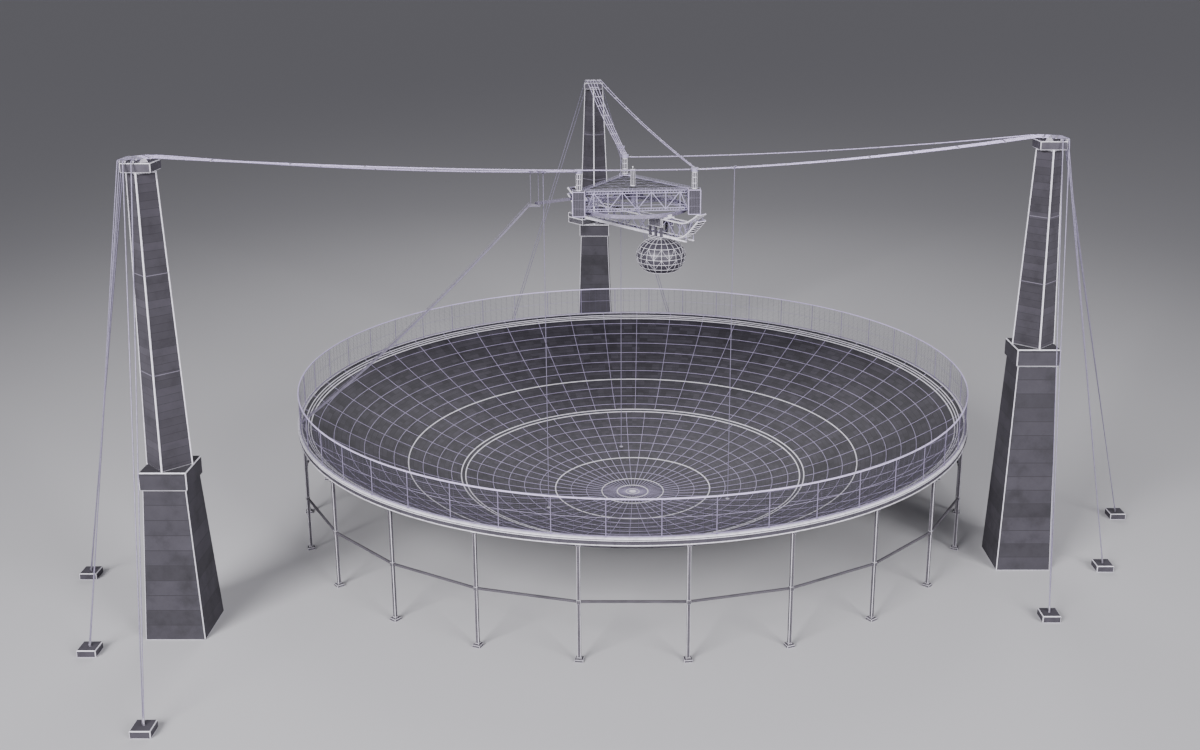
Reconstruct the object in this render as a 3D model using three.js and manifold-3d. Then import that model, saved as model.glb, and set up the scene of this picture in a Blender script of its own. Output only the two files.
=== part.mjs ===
// Radio telescope dish: a fixed spherical reflector under a cable-hung platform, as a 1:20 scale model.
// Units are millimetres of the model, +Z up; the origin is on the floor at the dish's axis.
import * as THREE from "three";
import { mergeVertices } from "three/addons/utils/BufferGeometryUtils.js";
import Module from "manifold-3d";

const wasm = await Module();
wasm.setup();

// Scale and running gaps
const M = 50; // one metre of the real telescope is 50 mm of the model
const GAP = 0.3; // seat between two pieces that touch

// Reflector: part of a sphere, its lowest point just above the floor
const SPHERE_RADIUS = 265 * M;
const RIM_RADIUS = 152.5 * M;
const BOWL_FLOOR_Z = 1.8 * M;
const SHELL_THICKNESS = 0.5 * M;
const SPHERE_Z = BOWL_FLOOR_Z + SPHERE_RADIUS;
const RIM_Z = SPHERE_Z - Math.sqrt(SPHERE_RADIUS ** 2 - RIM_RADIUS ** 2);
const ROUND_SEGMENTS = 48;
const BOWL_STEPS = 8;
const BOWL_CENTRE_RADIUS = 68 * M;
const PAD_RADIUS = 5 * M;

// Tie-downs: strands that pass through clear holes in the reflector
const TIE_RADIUS = 48.5 * M;
const TIE_STRAND_RADIUS = 0.16 * M;
const TIE_HOLE_RADIUS = 0.6 * M;

// Rim girder on its columns, and the mesh fence that stands on the girder
const GIRDER_WIDTH = 2 * M;
const GIRDER_DEPTH = 3 * M;
const GIRDER_RADIUS = RIM_RADIUS + GAP;
const COLUMN_COUNT = 24;
const COLUMN_RADIUS = 0.9 * M;
const COLUMN_TIE_Z = 24 * M;
const FOOT_SIDE = 3.2 * M;
const FOOT_HEIGHT = 1 * M;
const FENCE_HEIGHT = 15 * M;
const FENCE_POSTS = 48;
const FENCE_POST_SIDE = 0.4 * M;
const FENCE_RAILS = [0.3 * M, 14.7 * M];

// Towers: plan position and height of the tapered shaft; all tops are level
const TOWER_TOP_Z = RIM_Z + 131.6 * M;
const CAP_SIDE = 10.85 * M;
const CAP_HEIGHT = 3.5 * M;
const SHAFT_TOP_RADIUS = 5.42 * M;
const SHAFT_FOOT_RADIUS = 8.73 * M;
const FOUNDATION_SIDE = 17.8 * M;
const FOUNDATION_LEDGE = 7.2 * M;
// A tower's cables run to its own corner of the platform and to one other, at these heights on
// the post heads; its anchors are given as distances outwards and sideways from the tower
const TOWERS = [
  {
    name: "left",
    x: -174.4 * M,
    y: -126.1 * M,
    height: 111 * M,
    own: "left",
    other: { name: "right", rise: 0 },
    anchors: [[19.5 * M, 64.7 * M], [35.4 * M, 0], [33.6 * M, -64.5 * M]],
  },
  {
    name: "right",
    x: 165.6 * M,
    y: -68.4 * M,
    height: 81 * M,
    own: "right",
    other: { name: "back", rise: -0.5 * M },
    anchors: [[18 * M, 49.5 * M], [35.5 * M, -4.1 * M], [38.6 * M, -62.7 * M]],
  },
  {
    name: "back",
    x: -22.8 * M,
    y: 192.3 * M,
    height: 81 * M,
    own: "back",
    other: { name: "right", rise: 0.5 * M },
    anchors: [[13 * M, 57.7 * M], [34.5 * M, 0], [30.8 * M, -59 * M]],
  },
];

// Suspension: six lanes of cable over the saddles of each cap
const CABLE_RADIUS = 0.2 * M;
const CABLE_SAG = 2 * M;
const LANE_SPACING = 1.7 * M;
const LANES = 6;
const SADDLE_RADIUS = 1.1 * M;
const SADDLE_WIDTH = 1.2 * M;
const YOKE_SIDE = 0.5 * M;
const HEAD_LANE_SPACING = 0.7 * M;
const ANCHOR_SIDE = 7.2 * M;
const ANCHOR_HEIGHT = 2.9 * M;

// Platform: a triangle of trusses between three corner houses, with a post on each house
const CORNER_RADIUS = 29.9 * M;
const CORNERS = [
  { name: "back", angle: 96.85 },
  { name: "left", angle: 216.85 },
  { name: "right", angle: 336.85 },
];
const HOUSE_SIDE = 5.6 * M;
const HOUSE_BOTTOM_Z = RIM_Z + 91.1 * M;
const HOUSE_TOP_Z = RIM_Z + 102.3 * M;
const POST_RADIUS = 1.25 * M;
const POST_TOP_Z = RIM_Z + 110.2 * M;
const HEAD_RADIUS = 1.7 * M;
const HEAD_HEIGHT = 1.6 * M;
const TRUSS_BAR = 0.7 * M;
const TRUSS_TOP_Z = HOUSE_TOP_Z - 1 * M;
const TRUSS_BOTTOM_Z = HOUSE_BOTTOM_Z + 2.3 * M;
const TRUSS_BAYS = 8;
const DECK_THICKNESS = 0.4 * M;
const MAST_RADIUS = 1.15 * M;
const MAST_TOP_Z = RIM_Z + 109.4 * M;

// Azimuth track under the platform: a ring whose wide foot is the running flange
const TRACK_RADIUS = 24.7 * M;
const TRACK_BOTTOM_Z = HOUSE_BOTTOM_Z;
const TRACK_HEIGHT = 1.6 * M;
const TRACK_FLANGE = 0.5 * M;
const TRACK_WEB = 0.15 * M;
const FLANGE_THICKNESS = 0.25 * M;

// Azimuth arm: a box truss whose ends bend up, with straight carriage rails beneath it
const ARM_ANGLE = -50;
const ARM_HALF = 46.2 * M;
const ARM_HALF_WIDTH = 2.2 * M;
const ARM_BAR = 0.7 * M;
const ARM_TOP_Z = RIM_Z + 89.9 * M;
const ARM_LOW_Z = RIM_Z + 82.8 * M;
const ARM_BENDS = 5;
const RAIL_FEED_END = -43 * M;
const RAIL_DOME_END = 38.8 * M;
const RAIL_DEPTH = 0.5 * M;
const RAIL_FLANGE = 0.4 * M;
const RAIL_WEB = 0.12 * M;
const RAIL_FLANGE_THICKNESS = 0.15 * M;
const WHEEL_RADIUS = 0.28 * M;

// Feed carriage house and dome, which run along the rails
const FEED_AT = -37.2 * M;
const FEED_LENGTH = 10.7 * M;
const FEED_HALF_WIDTH = 4.5 * M;
const FEED_BOTTOM_Z = RIM_Z + 79.1 * M;
const FEED_TOP_Z = RIM_Z + 83.7 * M;
const DOME_AT = 19.6 * M;
const DOME_RADIUS = 11.1 * M;
const DOME_HALF_HEIGHT = 8.6 * M;
const DOME_THICKNESS = 0.3 * M;
const DOME_MOUTH_RADIUS = 6.9 * M;
const DOME_CARRIAGE_LENGTH = 8.3 * M;
const DOME_CARRIAGE_HALF_WIDTH = 3.7 * M;

// Catwalk from the rim to a landing hung under the left tower's cables
const LANDING_RADIUS = 53 * M;
const LANDING_HALF = 2.4 * M;
const BRIDGE_OFFSET = 1.5 * M;
const HANGER_REACH = 2 * M;
const LANDING_THICKNESS = 0.4 * M;
const CATWALK_RIM_ANGLE = 193.5;
const CATWALK_WIDTH = 1.6 * M;
const CATWALK_HEIGHT = 1.1 * M;
const CATWALK_WALL = 0.14 * M;
const CATWALK_SAG = 4 * M;
const LANDING_Z = RIM_Z + 98.2 * M;

const COLOURS = {
  concrete: { color: 0x8c8893, roughness: 0.9, metalness: 0 },
  reflector: { color: 0x4b4752, roughness: 0.5, metalness: 0.6 },
  steel: { color: 0xcfc8d8, roughness: 0.5, metalness: 0.2 },
  cable: { color: 0xc9b7de, roughness: 0.45, metalness: 0.7 },
  dome: { color: 0xe6e1ec, roughness: 0.4, metalness: 0 },
};

const model = new THREE.Group();

function vector(x, y, z) {
  return new THREE.Vector3(x, y, z);
}

function onCircle(radius, degrees, z = 0) {
  const angle = THREE.MathUtils.degToRad(degrees);
  return vector(radius * Math.cos(angle), radius * Math.sin(angle), z);
}

// A closed geometry as a solid that can be joined and cut
function solid(geometry) {
  const bare = geometry.clone();
  bare.deleteAttribute("normal");
  bare.deleteAttribute("uv");
  const merged = mergeVertices(bare, 1e-3);
  const mesh = new wasm.Mesh({
    numProp: 3,
    vertProperties: new Float32Array(merged.attributes.position.array),
    triVerts: new Uint32Array(merged.index.array),
  });
  return new wasm.Manifold(mesh);
}

function joinAll(solids) {
  let layer = solids;
  while (layer.length > 1) {
    const next = [];
    for (let i = 0; i < layer.length; i += 2) {
      next.push(i + 1 < layer.length ? layer[i].add(layer[i + 1]) : layer[i]);
    }
    layer = next;
  }
  return layer[0];
}

function geometryOf(body) {
  const mesh = body.getMesh();
  const geometry = new THREE.BufferGeometry();
  geometry.setAttribute("position", new THREE.BufferAttribute(mesh.vertProperties, 3));
  geometry.setIndex(new THREE.BufferAttribute(mesh.triVerts, 1));
  geometry.computeVertexNormals();
  return geometry;
}

function addPiece(name, body, finish) {
  const mesh = new THREE.Mesh(geometryOf(body), new THREE.MeshStandardMaterial(COLOURS[finish]));
  mesh.name = name;
  model.add(mesh);
  return mesh;
}

// A box between two corners
function box(low, high) {
  const size = high.clone().sub(low);
  const geometry = new THREE.BoxGeometry(size.x, size.y, size.z);
  geometry.translate((low.x + high.x) / 2, (low.y + high.y) / 2, (low.z + high.z) / 2);
  return solid(geometry);
}

// A straight bar of few sides from one point to another; four sides stand square to the vertical
function bar(from, to, radius, sides = 4) {
  const along = to.clone().sub(from);
  const length = along.length();
  const geometry = new THREE.CylinderGeometry(radius, radius, length, sides, 1, false, Math.PI / sides);
  const upright = Math.abs(along.z) > 0.999 * length;
  const side = upright ? vector(1, 0, 0) : vector(0, 0, 1).cross(along).normalize();
  const axis = along.clone().normalize();
  const frame = new THREE.Matrix4().makeBasis(side, axis, side.clone().cross(axis));
  geometry.applyMatrix4(frame);
  const middle = from.clone().add(to).multiplyScalar(0.5);
  geometry.translate(middle.x, middle.y, middle.z);
  return solid(geometry);
}

// Half the diagonal of a square bar of the given side
function squareBar(side) {
  return side * Math.SQRT1_2;
}

// A bar of few sides that follows a list of points, mitred where it bends
function sweep(points, radius, sides = 4) {
  const along = points.slice(1).map((point, i) => point.clone().sub(points[i]).normalize());
  const side = vector(0, 0, 1).cross(along[0]).normalize();
  const up = along[0].clone().cross(side);
  let row = [];
  for (let k = 0; k < sides; k += 1) {
    const angle = ((k + 0.5) * 2 * Math.PI) / sides;
    const reach = side.clone().multiplyScalar(radius * Math.cos(angle));
    row.push(points[0].clone().add(reach).addScaledVector(up, radius * Math.sin(angle)));
  }
  const vertices = [...row];
  for (let i = 1; i < points.length; i += 1) {
    const forward = along[i - 1];
    const mitre = forward.clone().add(along[i] ?? forward);
    row = row.map((vertex) => {
      const distance = points[i].clone().sub(vertex).dot(mitre) / forward.dot(mitre);
      return vertex.clone().addScaledVector(forward, distance);
    });
    vertices.push(...row);
  }
  const index = [];
  const last = (points.length - 1) * sides;
  for (let k = 0; k < sides; k += 1) {
    const next = (k + 1) % sides;
    for (let start = 0; start < last; start += sides) {
      index.push(start + k, start + next, start + sides + next);
      index.push(start + k, start + sides + next, start + sides + k);
    }
    if (k > 0 && k < sides - 1) {
      index.push(0, next, k, last, last + k, last + next);
    }
  }
  const geometry = new THREE.BufferGeometry().setFromPoints(vertices);
  geometry.setIndex(index);
  return solid(geometry);
}

// A ring or round body turned about the vertical axis from points [radius, height]
function turned(profile, segments = ROUND_SEGMENTS) {
  const points = profile.map(([radius, z]) => new THREE.Vector2(radius, z));
  const geometry = new THREE.LatheGeometry(points, segments);
  geometry.rotateX(Math.PI / 2);
  return solid(geometry);
}

// Half of the whole plan, short of the other half by the seat gap
function halfPlan(index) {
  const reach = 400 * M;
  const geometry = new THREE.BoxGeometry(reach, 2 * reach, reach);
  geometry.translate(reach / 2 + GAP / 2, 0, 0);
  geometry.rotateZ(index * Math.PI);
  return solid(geometry);
}

// A quarter of the whole plan, short of its neighbours by the seat gap
function quarterWedge(quarter) {
  const reach = 400 * M;
  const geometry = new THREE.BoxGeometry(reach, reach, reach);
  geometry.translate(reach / 2 + GAP / 2, reach / 2 + GAP / 2, 0);
  geometry.rotateZ((quarter * Math.PI) / 2);
  return solid(geometry);
}

// A point in the arm's own directions: along it, across it and up
const armAlong = onCircle(1, ARM_ANGLE);
const armAcross = vector(-armAlong.y, armAlong.x, 0);
function onArm(along, across, z) {
  return armAlong.clone().multiplyScalar(along).addScaledVector(armAcross, across).setZ(z);
}

// A box square to the arm
function armBox(alongFrom, alongTo, acrossFrom, acrossTo, zFrom, zTo) {
  const geometry = new THREE.BoxGeometry(alongTo - alongFrom, acrossTo - acrossFrom, zTo - zFrom);
  geometry.translate((alongFrom + alongTo) / 2, (acrossFrom + acrossTo) / 2, (zFrom + zTo) / 2);
  geometry.rotateZ(THREE.MathUtils.degToRad(ARM_ANGLE));
  return solid(geometry);
}

// Reflector shell: a round centre and four quarters round it, with a clear hole for each tie-down
function buildReflector() {
  const edge = Math.asin(RIM_RADIUS / SPHERE_RADIUS);
  const outer = SPHERE_RADIUS + SHELL_THICKNESS;
  const profile = [];
  for (let i = 0; i <= BOWL_STEPS; i += 1) {
    const tilt = (edge * i) / BOWL_STEPS;
    profile.push([SPHERE_RADIUS * Math.sin(tilt), SPHERE_Z - SPHERE_RADIUS * Math.cos(tilt)]);
  }
  for (let i = BOWL_STEPS; i >= 0; i -= 1) {
    const tilt = (edge * i) / BOWL_STEPS;
    const radius = Math.min(outer * Math.sin(tilt), RIM_RADIUS);
    profile.push([radius, SPHERE_Z - outer * Math.cos(tilt)]);
  }
  profile[0][0] = 0;
  profile[profile.length - 1][0] = 0;
  let shell = turned(profile.reverse());
  for (const corner of CORNERS) {
    const foot = onCircle(TIE_RADIUS, corner.angle);
    shell = shell.subtract(bar(foot, foot.clone().setZ(12 * M), TIE_HOLE_RADIUS, 8));
  }
  const disc = (radius) => turned([[0, 0], [radius, 0], [radius, RIM_Z], [0, RIM_Z]]);
  addPiece("reflector_centre", shell.intersect(disc(BOWL_CENTRE_RADIUS - GAP / 2)), "reflector");
  const band = shell.subtract(disc(BOWL_CENTRE_RADIUS + GAP / 2));
  for (let quarter = 0; quarter < 4; quarter += 1) {
    addPiece(`reflector_quarter_${quarter + 1}`, band.intersect(quarterWedge(quarter)), "reflector");
  }
  const padTop = BOWL_FLOOR_Z - SHELL_THICKNESS - GAP;
  const pad = turned([[0, 0], [PAD_RADIUS, 0], [PAD_RADIUS * 0.9, padTop], [0, padTop]], 24);
  addPiece("centre_pad", pad, "concrete");
}

// Rim girder, columns, footings and one tie ring, in four quarters
function buildRimFrame() {
  const outer = GIRDER_RADIUS + GIRDER_WIDTH;
  const girderBottom = RIM_Z - GIRDER_DEPTH;
  const parts = [
    turned([
      [GIRDER_RADIUS, girderBottom],
      [outer, girderBottom],
      [outer, RIM_Z],
      [GIRDER_RADIUS, RIM_Z],
      [GIRDER_RADIUS, girderBottom],
    ]),
  ];
  const middle = GIRDER_RADIUS + GIRDER_WIDTH / 2;
  const step = 360 / COLUMN_COUNT;
  for (let i = 0; i < COLUMN_COUNT; i += 1) {
    const angle = (i + 0.5) * step;
    const foot = onCircle(middle, angle);
    parts.push(bar(foot, foot.clone().setZ(girderBottom + 0.5 * M), COLUMN_RADIUS, 4));
    parts.push(bar(foot, foot.clone().setZ(FOOT_HEIGHT), squareBar(FOOT_SIDE), 4));
    const next = onCircle(middle, angle + step, COLUMN_TIE_Z);
    parts.push(bar(foot.clone().setZ(COLUMN_TIE_Z), next, squareBar(0.8 * M), 4));
  }
  const frame = joinAll(parts);
  for (let quarter = 0; quarter < 4; quarter += 1) {
    addPiece(`rim_frame_quarter_${quarter + 1}`, frame.intersect(quarterWedge(quarter)), "concrete");
  }
}

// Fence of posts and rails that stands on the girder, in two halves
function buildGroundScreen() {
  const radius = GIRDER_RADIUS + GIRDER_WIDTH / 2;
  const floor = RIM_Z + GAP;
  const parts = [];
  for (const height of FENCE_RAILS) {
    const half = 0.2 * M;
    parts.push(
      turned([
        [radius - half, floor + height - half],
        [radius + half, floor + height - half],
        [radius + half, floor + height + half],
        [radius - half, floor + height + half],
        [radius - half, floor + height - half],
      ]),
    );
  }
  for (let i = 0; i < FENCE_POSTS; i += 1) {
    const foot = onCircle(radius, ((i + 0.5) * 360) / FENCE_POSTS, floor);
    const top = foot.clone().setZ(floor + FENCE_HEIGHT);
    parts.push(bar(foot, top, squareBar(FENCE_POST_SIDE), 4));
  }
  const fence = joinAll(parts);
  ["right", "left"].forEach((name, index) => {
    addPiece(`ground_screen_${name}`, fence.intersect(halfPlan(index)), "steel");
  });
}

// One tower: battered foundation pier, tapered four-sided shaft, and a cap with a cable cradle
function buildTower(tower) {
  const capBottom = TOWER_TOP_Z - CAP_HEIGHT;
  const shaftFoot = capBottom - tower.height;
  const pierTop = shaftFoot - GAP;
  const ledge = pierTop - FOUNDATION_LEDGE;
  const block = box(
    vector(-FOUNDATION_SIDE / 2, -FOUNDATION_SIDE / 2, ledge),
    vector(FOUNDATION_SIDE / 2, FOUNDATION_SIDE / 2, pierTop),
  );
  const topDiagonal = squareBar(FOUNDATION_SIDE - 1.6 * M);
  const footDiagonal = squareBar(FOUNDATION_SIDE + 5 * M);
  const pierHeight = ledge + 0.5 * M;
  const pier = new THREE.CylinderGeometry(topDiagonal, footDiagonal, pierHeight, 4, 1, false, Math.PI / 4);
  pier.rotateX(Math.PI / 2);
  pier.translate(0, 0, pierHeight / 2);
  const foundation = block.add(solid(pier)).translate([tower.x, tower.y, 0]);
  addPiece(`tower_foundation_${tower.name}`, foundation, "concrete");

  const height = tower.height - GAP;
  const shaft = new THREE.CylinderGeometry(SHAFT_TOP_RADIUS, SHAFT_FOOT_RADIUS, height, 4);
  shaft.rotateX(Math.PI / 2);
  shaft.translate(tower.x, tower.y, shaftFoot + height / 2);
  addPiece(`tower_shaft_${tower.name}`, solid(shaft), "concrete");

  const parts = [
    box(vector(-CAP_SIDE / 2, -CAP_SIDE / 2, capBottom), vector(CAP_SIDE / 2, CAP_SIDE / 2, TOWER_TOP_Z)),
  ];
  for (let lane = 0; lane < LANES; lane += 1) {
    const middle = tower.across.clone().multiplyScalar(laneOffset(lane)).setZ(TOWER_TOP_Z);
    const half = tower.across.clone().multiplyScalar(SADDLE_WIDTH / 2);
    parts.push(bar(middle.clone().sub(half), middle.clone().add(half), SADDLE_RADIUS, 8));
  }
  const cap = joinAll(parts).translate([tower.x, tower.y, 0]);
  addPiece(`tower_cap_${tower.name}`, cap, "concrete");
}

// Where each corner post stands, and the drum on its head that the cables end on
function cornerPoint(name, z) {
  return onCircle(CORNER_RADIUS, CORNERS.find((corner) => corner.name === name).angle, z);
}

function headDrum(corner, radius) {
  const foot = cornerPoint(corner, POST_TOP_Z);
  return bar(foot, foot.clone().setZ(POST_TOP_Z + HEAD_HEIGHT), radius, 12);
}

// Directions of a tower: towards its own corner of the platform, and across that
for (const tower of TOWERS) {
  tower.centre = vector(tower.x, tower.y, 0);
  tower.inward = cornerPoint(tower.own, 0).sub(tower.centre).normalize();
  tower.across = vector(-tower.inward.y, tower.inward.x, 0);
}

// Sideways place of a lane on the cap, and the height of the cables there
const CABLE_TOP_Z = TOWER_TOP_Z + SADDLE_RADIUS * Math.cos(Math.PI / 8) + CABLE_RADIUS + GAP;
function laneOffset(lane) {
  return (lane - (LANES - 1) / 2) * LANE_SPACING;
}

function lanePoint(tower, lane, distance) {
  return tower.centre
    .clone()
    .addScaledVector(tower.inward, distance)
    .addScaledVector(tower.across, laneOffset(lane))
    .setZ(CABLE_TOP_Z);
}

// Where a lane has just cleared the cap, on the platform's side (+1) or the far side (-1)
function capEdge(tower, lane, side) {
  const clear = CAP_SIDE / 2 + 0.4 * M;
  const reach = ["x", "y"].map((key) => {
    const direction = tower.inward[key] * side;
    const offset = tower.across[key] * laneOffset(lane);
    return (clear - Math.sign(direction) * offset) / Math.abs(direction);
  });
  return lanePoint(tower, lane, side * Math.min(...reach));
}

// A bar across some lanes, at a distance from the tower's middle, that holds them together
function yoke(tower, lanes, distance) {
  const beyond = tower.across.clone().multiplyScalar(0.4 * M);
  const first = lanePoint(tower, Math.min(...lanes), distance).sub(beyond);
  const last = lanePoint(tower, Math.max(...lanes), distance).add(beyond);
  return bar(first, last, squareBar(YOKE_SIDE), 4);
}

// The lanes of one tower that share a corner of the platform, each as the points of its cable
function cableLines(tower, name) {
  const own = name === tower.own;
  const rise = own ? 0 : tower.other.rise;
  const head = cornerPoint(name, POST_TOP_Z + HEAD_HEIGHT / 2 + rise);
  const run = head.clone().sub(tower.centre).setZ(0).normalize();
  const sideways = vector(-run.y, run.x, 0);
  const towards = cornerPoint(tower.other.name, 0).sub(tower.centre).dot(tower.across);
  const split = towards < 0 ? [[0, 1], [2, 3, 4, 5]] : [[4, 5], [0, 1, 2, 3]];
  const lanes = split[own ? 1 : 0];
  const lines = lanes.map((lane, i) => {
    const shift = (i - (lanes.length - 1) / 2) * HEAD_LANE_SPACING;
    const end = head.clone().addScaledVector(sideways, shift);
    const edge = capEdge(tower, lane, 1);
    const points = [lanePoint(tower, lane, GAP)];
    const pieces = 4;
    for (let k = 0; k <= pieces; k += 1) {
      const t = k / pieces;
      const point = edge.clone().lerp(end, t);
      point.z -= 4 * CABLE_SAG * t * (1 - t);
      points.push(point);
    }
    return points;
  });
  return { lanes, lines };
}

// Height of a tower's own cables over a point between its cap and the platform
function cableHeight(tower, point) {
  const line = cableLines(tower, tower.own).lines[1];
  for (let i = 2; i < line.length; i += 1) {
    const from = line[i - 1].clone().sub(point).dot(tower.inward);
    const to = line[i].clone().sub(point).dot(tower.inward);
    if (from <= 0 && to >= 0) {
      return line[i - 1].z + ((line[i].z - line[i - 1].z) * from) / (from - to);
    }
  }
  return CABLE_TOP_Z;
}

// A clamp across a tower's own cables over a point, open round each strand
function cableClamp(tower, at) {
  const reach = tower.across.clone().multiplyScalar(1.9 * M);
  const middle = at.clone().setZ(cableHeight(tower, at));
  let clamp = bar(middle.clone().sub(reach), middle.clone().add(reach), squareBar(0.9 * M), 4);
  for (const line of cableLines(tower, tower.own).lines) {
    clamp = clamp.subtract(sweep(line, CABLE_RADIUS + 1.5 * GAP, 6));
  }
  return clamp;
}

// Cables from one tower: four to its own corner, two to the other, and six back to the anchors
function buildCables(tower) {
  for (const name of [tower.own, tower.other.name]) {
    const { lanes, lines } = cableLines(tower, name);
    const parts = lines.map((line) => sweep(line, CABLE_RADIUS, 6));
    parts.push(yoke(tower, lanes, 2.4 * M));
    const cables = joinAll(parts).subtract(headDrum(name, HEAD_RADIUS + GAP));
    const role = name === tower.own ? "main" : "cross";
    addPiece(`${role}_cables_${tower.name}`, cables, "cable");
  }

  const lanePairs = [[4, 5], [2, 3], [0, 1]];
  tower.anchors.forEach(([out, sideways], k) => {
    const at = tower.centre
      .clone()
      .addScaledVector(tower.inward, -out)
      .addScaledVector(tower.across, sideways);
    const low = vector(at.x - ANCHOR_SIDE / 2, at.y - ANCHOR_SIDE / 2, 0);
    const high = vector(at.x + ANCHOR_SIDE / 2, at.y + ANCHOR_SIDE / 2, ANCHOR_HEIGHT);
    addPiece(`anchor_${tower.name}_${k + 1}`, box(low, high), "concrete");
    const stays = [yoke(tower, lanePairs[k], -2.4 * M)];
    lanePairs[k].forEach((lane, i) => {
      const end = at.clone().addScaledVector(tower.across, (i - 0.5) * 1.2 * M);
      end.z = ANCHOR_HEIGHT - 1 * M;
      const points = [lanePoint(tower, lane, -GAP), capEdge(tower, lane, -1), end];
      stays.push(sweep(points, CABLE_RADIUS, 6));
    });
    const block = box(low.subScalar(GAP), high.addScalar(GAP));
    addPiece(`backstay_${tower.name}_${k + 1}`, joinAll(stays).subtract(block), "cable");
  });
}

// Platform: three side trusses round a deck with a mast on its middle, and outriggers to the track
function buildPlatform() {
  const parts = [];
  const chord = squareBar(TRUSS_BAR);
  const thin = squareBar(0.45 * M);
  const corners = CORNERS.map((corner) => cornerPoint(corner.name, 0));
  corners.forEach((corner, i) => {
    const next = corners[(i + 1) % 3];
    const at = (t, z) => corner.clone().lerp(next, t).setZ(z);
    for (const z of [TRUSS_TOP_Z, TRUSS_BOTTOM_Z]) {
      parts.push(bar(at(0, z), at(1, z), chord));
    }
    for (let bay = 0; bay < TRUSS_BAYS; bay += 1) {
      const low = at((bay + (bay % 2)) / TRUSS_BAYS, TRUSS_BOTTOM_Z);
      const high = at((bay + 1 - (bay % 2)) / TRUSS_BAYS, TRUSS_TOP_Z);
      parts.push(bar(low, high, thin));
    }
    const outward = onCircle(TRACK_RADIUS + 0.5 * M, CORNERS[i].angle + 60, TRUSS_BOTTOM_Z);
    parts.push(bar(vector(0, 0, TRUSS_BOTTOM_Z), outward, chord));
  });
  parts.push(bar(vector(0, 0, TRUSS_BOTTOM_Z), vector(0, 0, TRUSS_TOP_Z), POST_RADIUS, 8));
  const mastTop = vector(0, 0, MAST_TOP_Z);
  parts.push(bar(vector(0, 0, TRUSS_TOP_Z), mastTop, MAST_RADIUS, 12));
  parts.push(bar(vector(0, 0, TRUSS_TOP_Z), mastTop.clone().setZ(MAST_TOP_Z + 1.4 * M), 0.3 * M, 8));
  const plan = new THREE.Shape(corners.map((corner) => new THREE.Vector2(corner.x, corner.y)));
  const deck = new THREE.ExtrudeGeometry(plan, { depth: DECK_THICKNESS, bevelEnabled: false });
  deck.translate(0, 0, TRUSS_TOP_Z + TRUSS_BAR / 2 - DECK_THICKNESS);
  parts.push(solid(deck));
  let frame = joinAll(parts);
  for (const corner of CORNERS) {
    const at = cornerPoint(corner.name, 0);
    const half = HOUSE_SIDE / 2;
    const low = vector(at.x - half, at.y - half, HOUSE_BOTTOM_Z);
    const high = vector(at.x + half, at.y + half, HOUSE_TOP_Z);
    const foot = at.clone().setZ(HOUSE_TOP_Z - 0.5 * M);
    const post = bar(foot, at.clone().setZ(POST_TOP_Z + 0.5 * M), POST_RADIUS, 12);
    const house = joinAll([box(low, high), post, headDrum(corner.name, HEAD_RADIUS)]);
    addPiece(`corner_house_${corner.name}`, house, "steel");
    frame = frame.subtract(box(low.subScalar(GAP), high.addScalar(GAP)));
  }
  addPiece("platform_truss", frame, "steel");
}

// Azimuth track with its hanger blocks up to the platform
function buildTrack() {
  const low = TRACK_BOTTOM_Z;
  const high = TRACK_BOTTOM_Z + TRACK_HEIGHT;
  const r = TRACK_RADIUS;
  const f = TRACK_FLANGE;
  const w = TRACK_WEB;
  const t = FLANGE_THICKNESS;
  const parts = [
    turned([
      [r - f, low],
      [r + f, low],
      [r + f, low + t],
      [r + w, low + t],
      [r + w, high],
      [r - w, high],
      [r - w, low + t],
      [r - f, low + t],
      [r - f, low],
    ]),
  ];
  const seat = TRUSS_BOTTOM_Z - TRUSS_BAR / 2 - GAP;
  const inner = CORNER_RADIUS / 2;
  const swing = THREE.MathUtils.radToDeg(Math.acos(inner / TRACK_RADIUS));
  for (const corner of CORNERS) {
    const facing = corner.angle + 60;
    for (const angle of [facing - swing, facing, facing + swing]) {
      const foot = onCircle(TRACK_RADIUS, angle, high - 0.1 * M);
      parts.push(bar(foot, foot.clone().setZ(seat), squareBar(0.8 * M), 4));
    }
  }
  addPiece("azimuth_track", joinAll(parts), "steel");
}

// Height of the arm's upper and lower chords at a distance along it
function armCurve(points) {
  return (along) => {
    const x = Math.abs(along);
    for (let i = 1; i < points.length; i += 1) {
      const [x0, z0] = points[i - 1];
      const [x1, z1] = points[i];
      if (x <= x1) {
        return z0 + ((z1 - z0) * (x - x0)) / (x1 - x0);
      }
    }
    return points[points.length - 1][1];
  };
}
const upperChord = armCurve([
  [0, ARM_TOP_Z],
  [36.2 * M, ARM_TOP_Z],
  [39.5 * M, ARM_TOP_Z + 1 * M],
  [42.8 * M, ARM_TOP_Z + 2.9 * M],
  [ARM_HALF, ARM_TOP_Z + 5.3 * M],
]);
const lowerChord = armCurve([
  [0, ARM_LOW_Z],
  [32.5 * M, ARM_LOW_Z],
  [36.2 * M, ARM_LOW_Z + 1 * M],
  [39.5 * M, ARM_LOW_Z + 3.1 * M],
  [42.8 * M, ARM_LOW_Z + 6.2 * M],
  [ARM_HALF, ARM_LOW_Z + 9.6 * M],
]);

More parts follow.
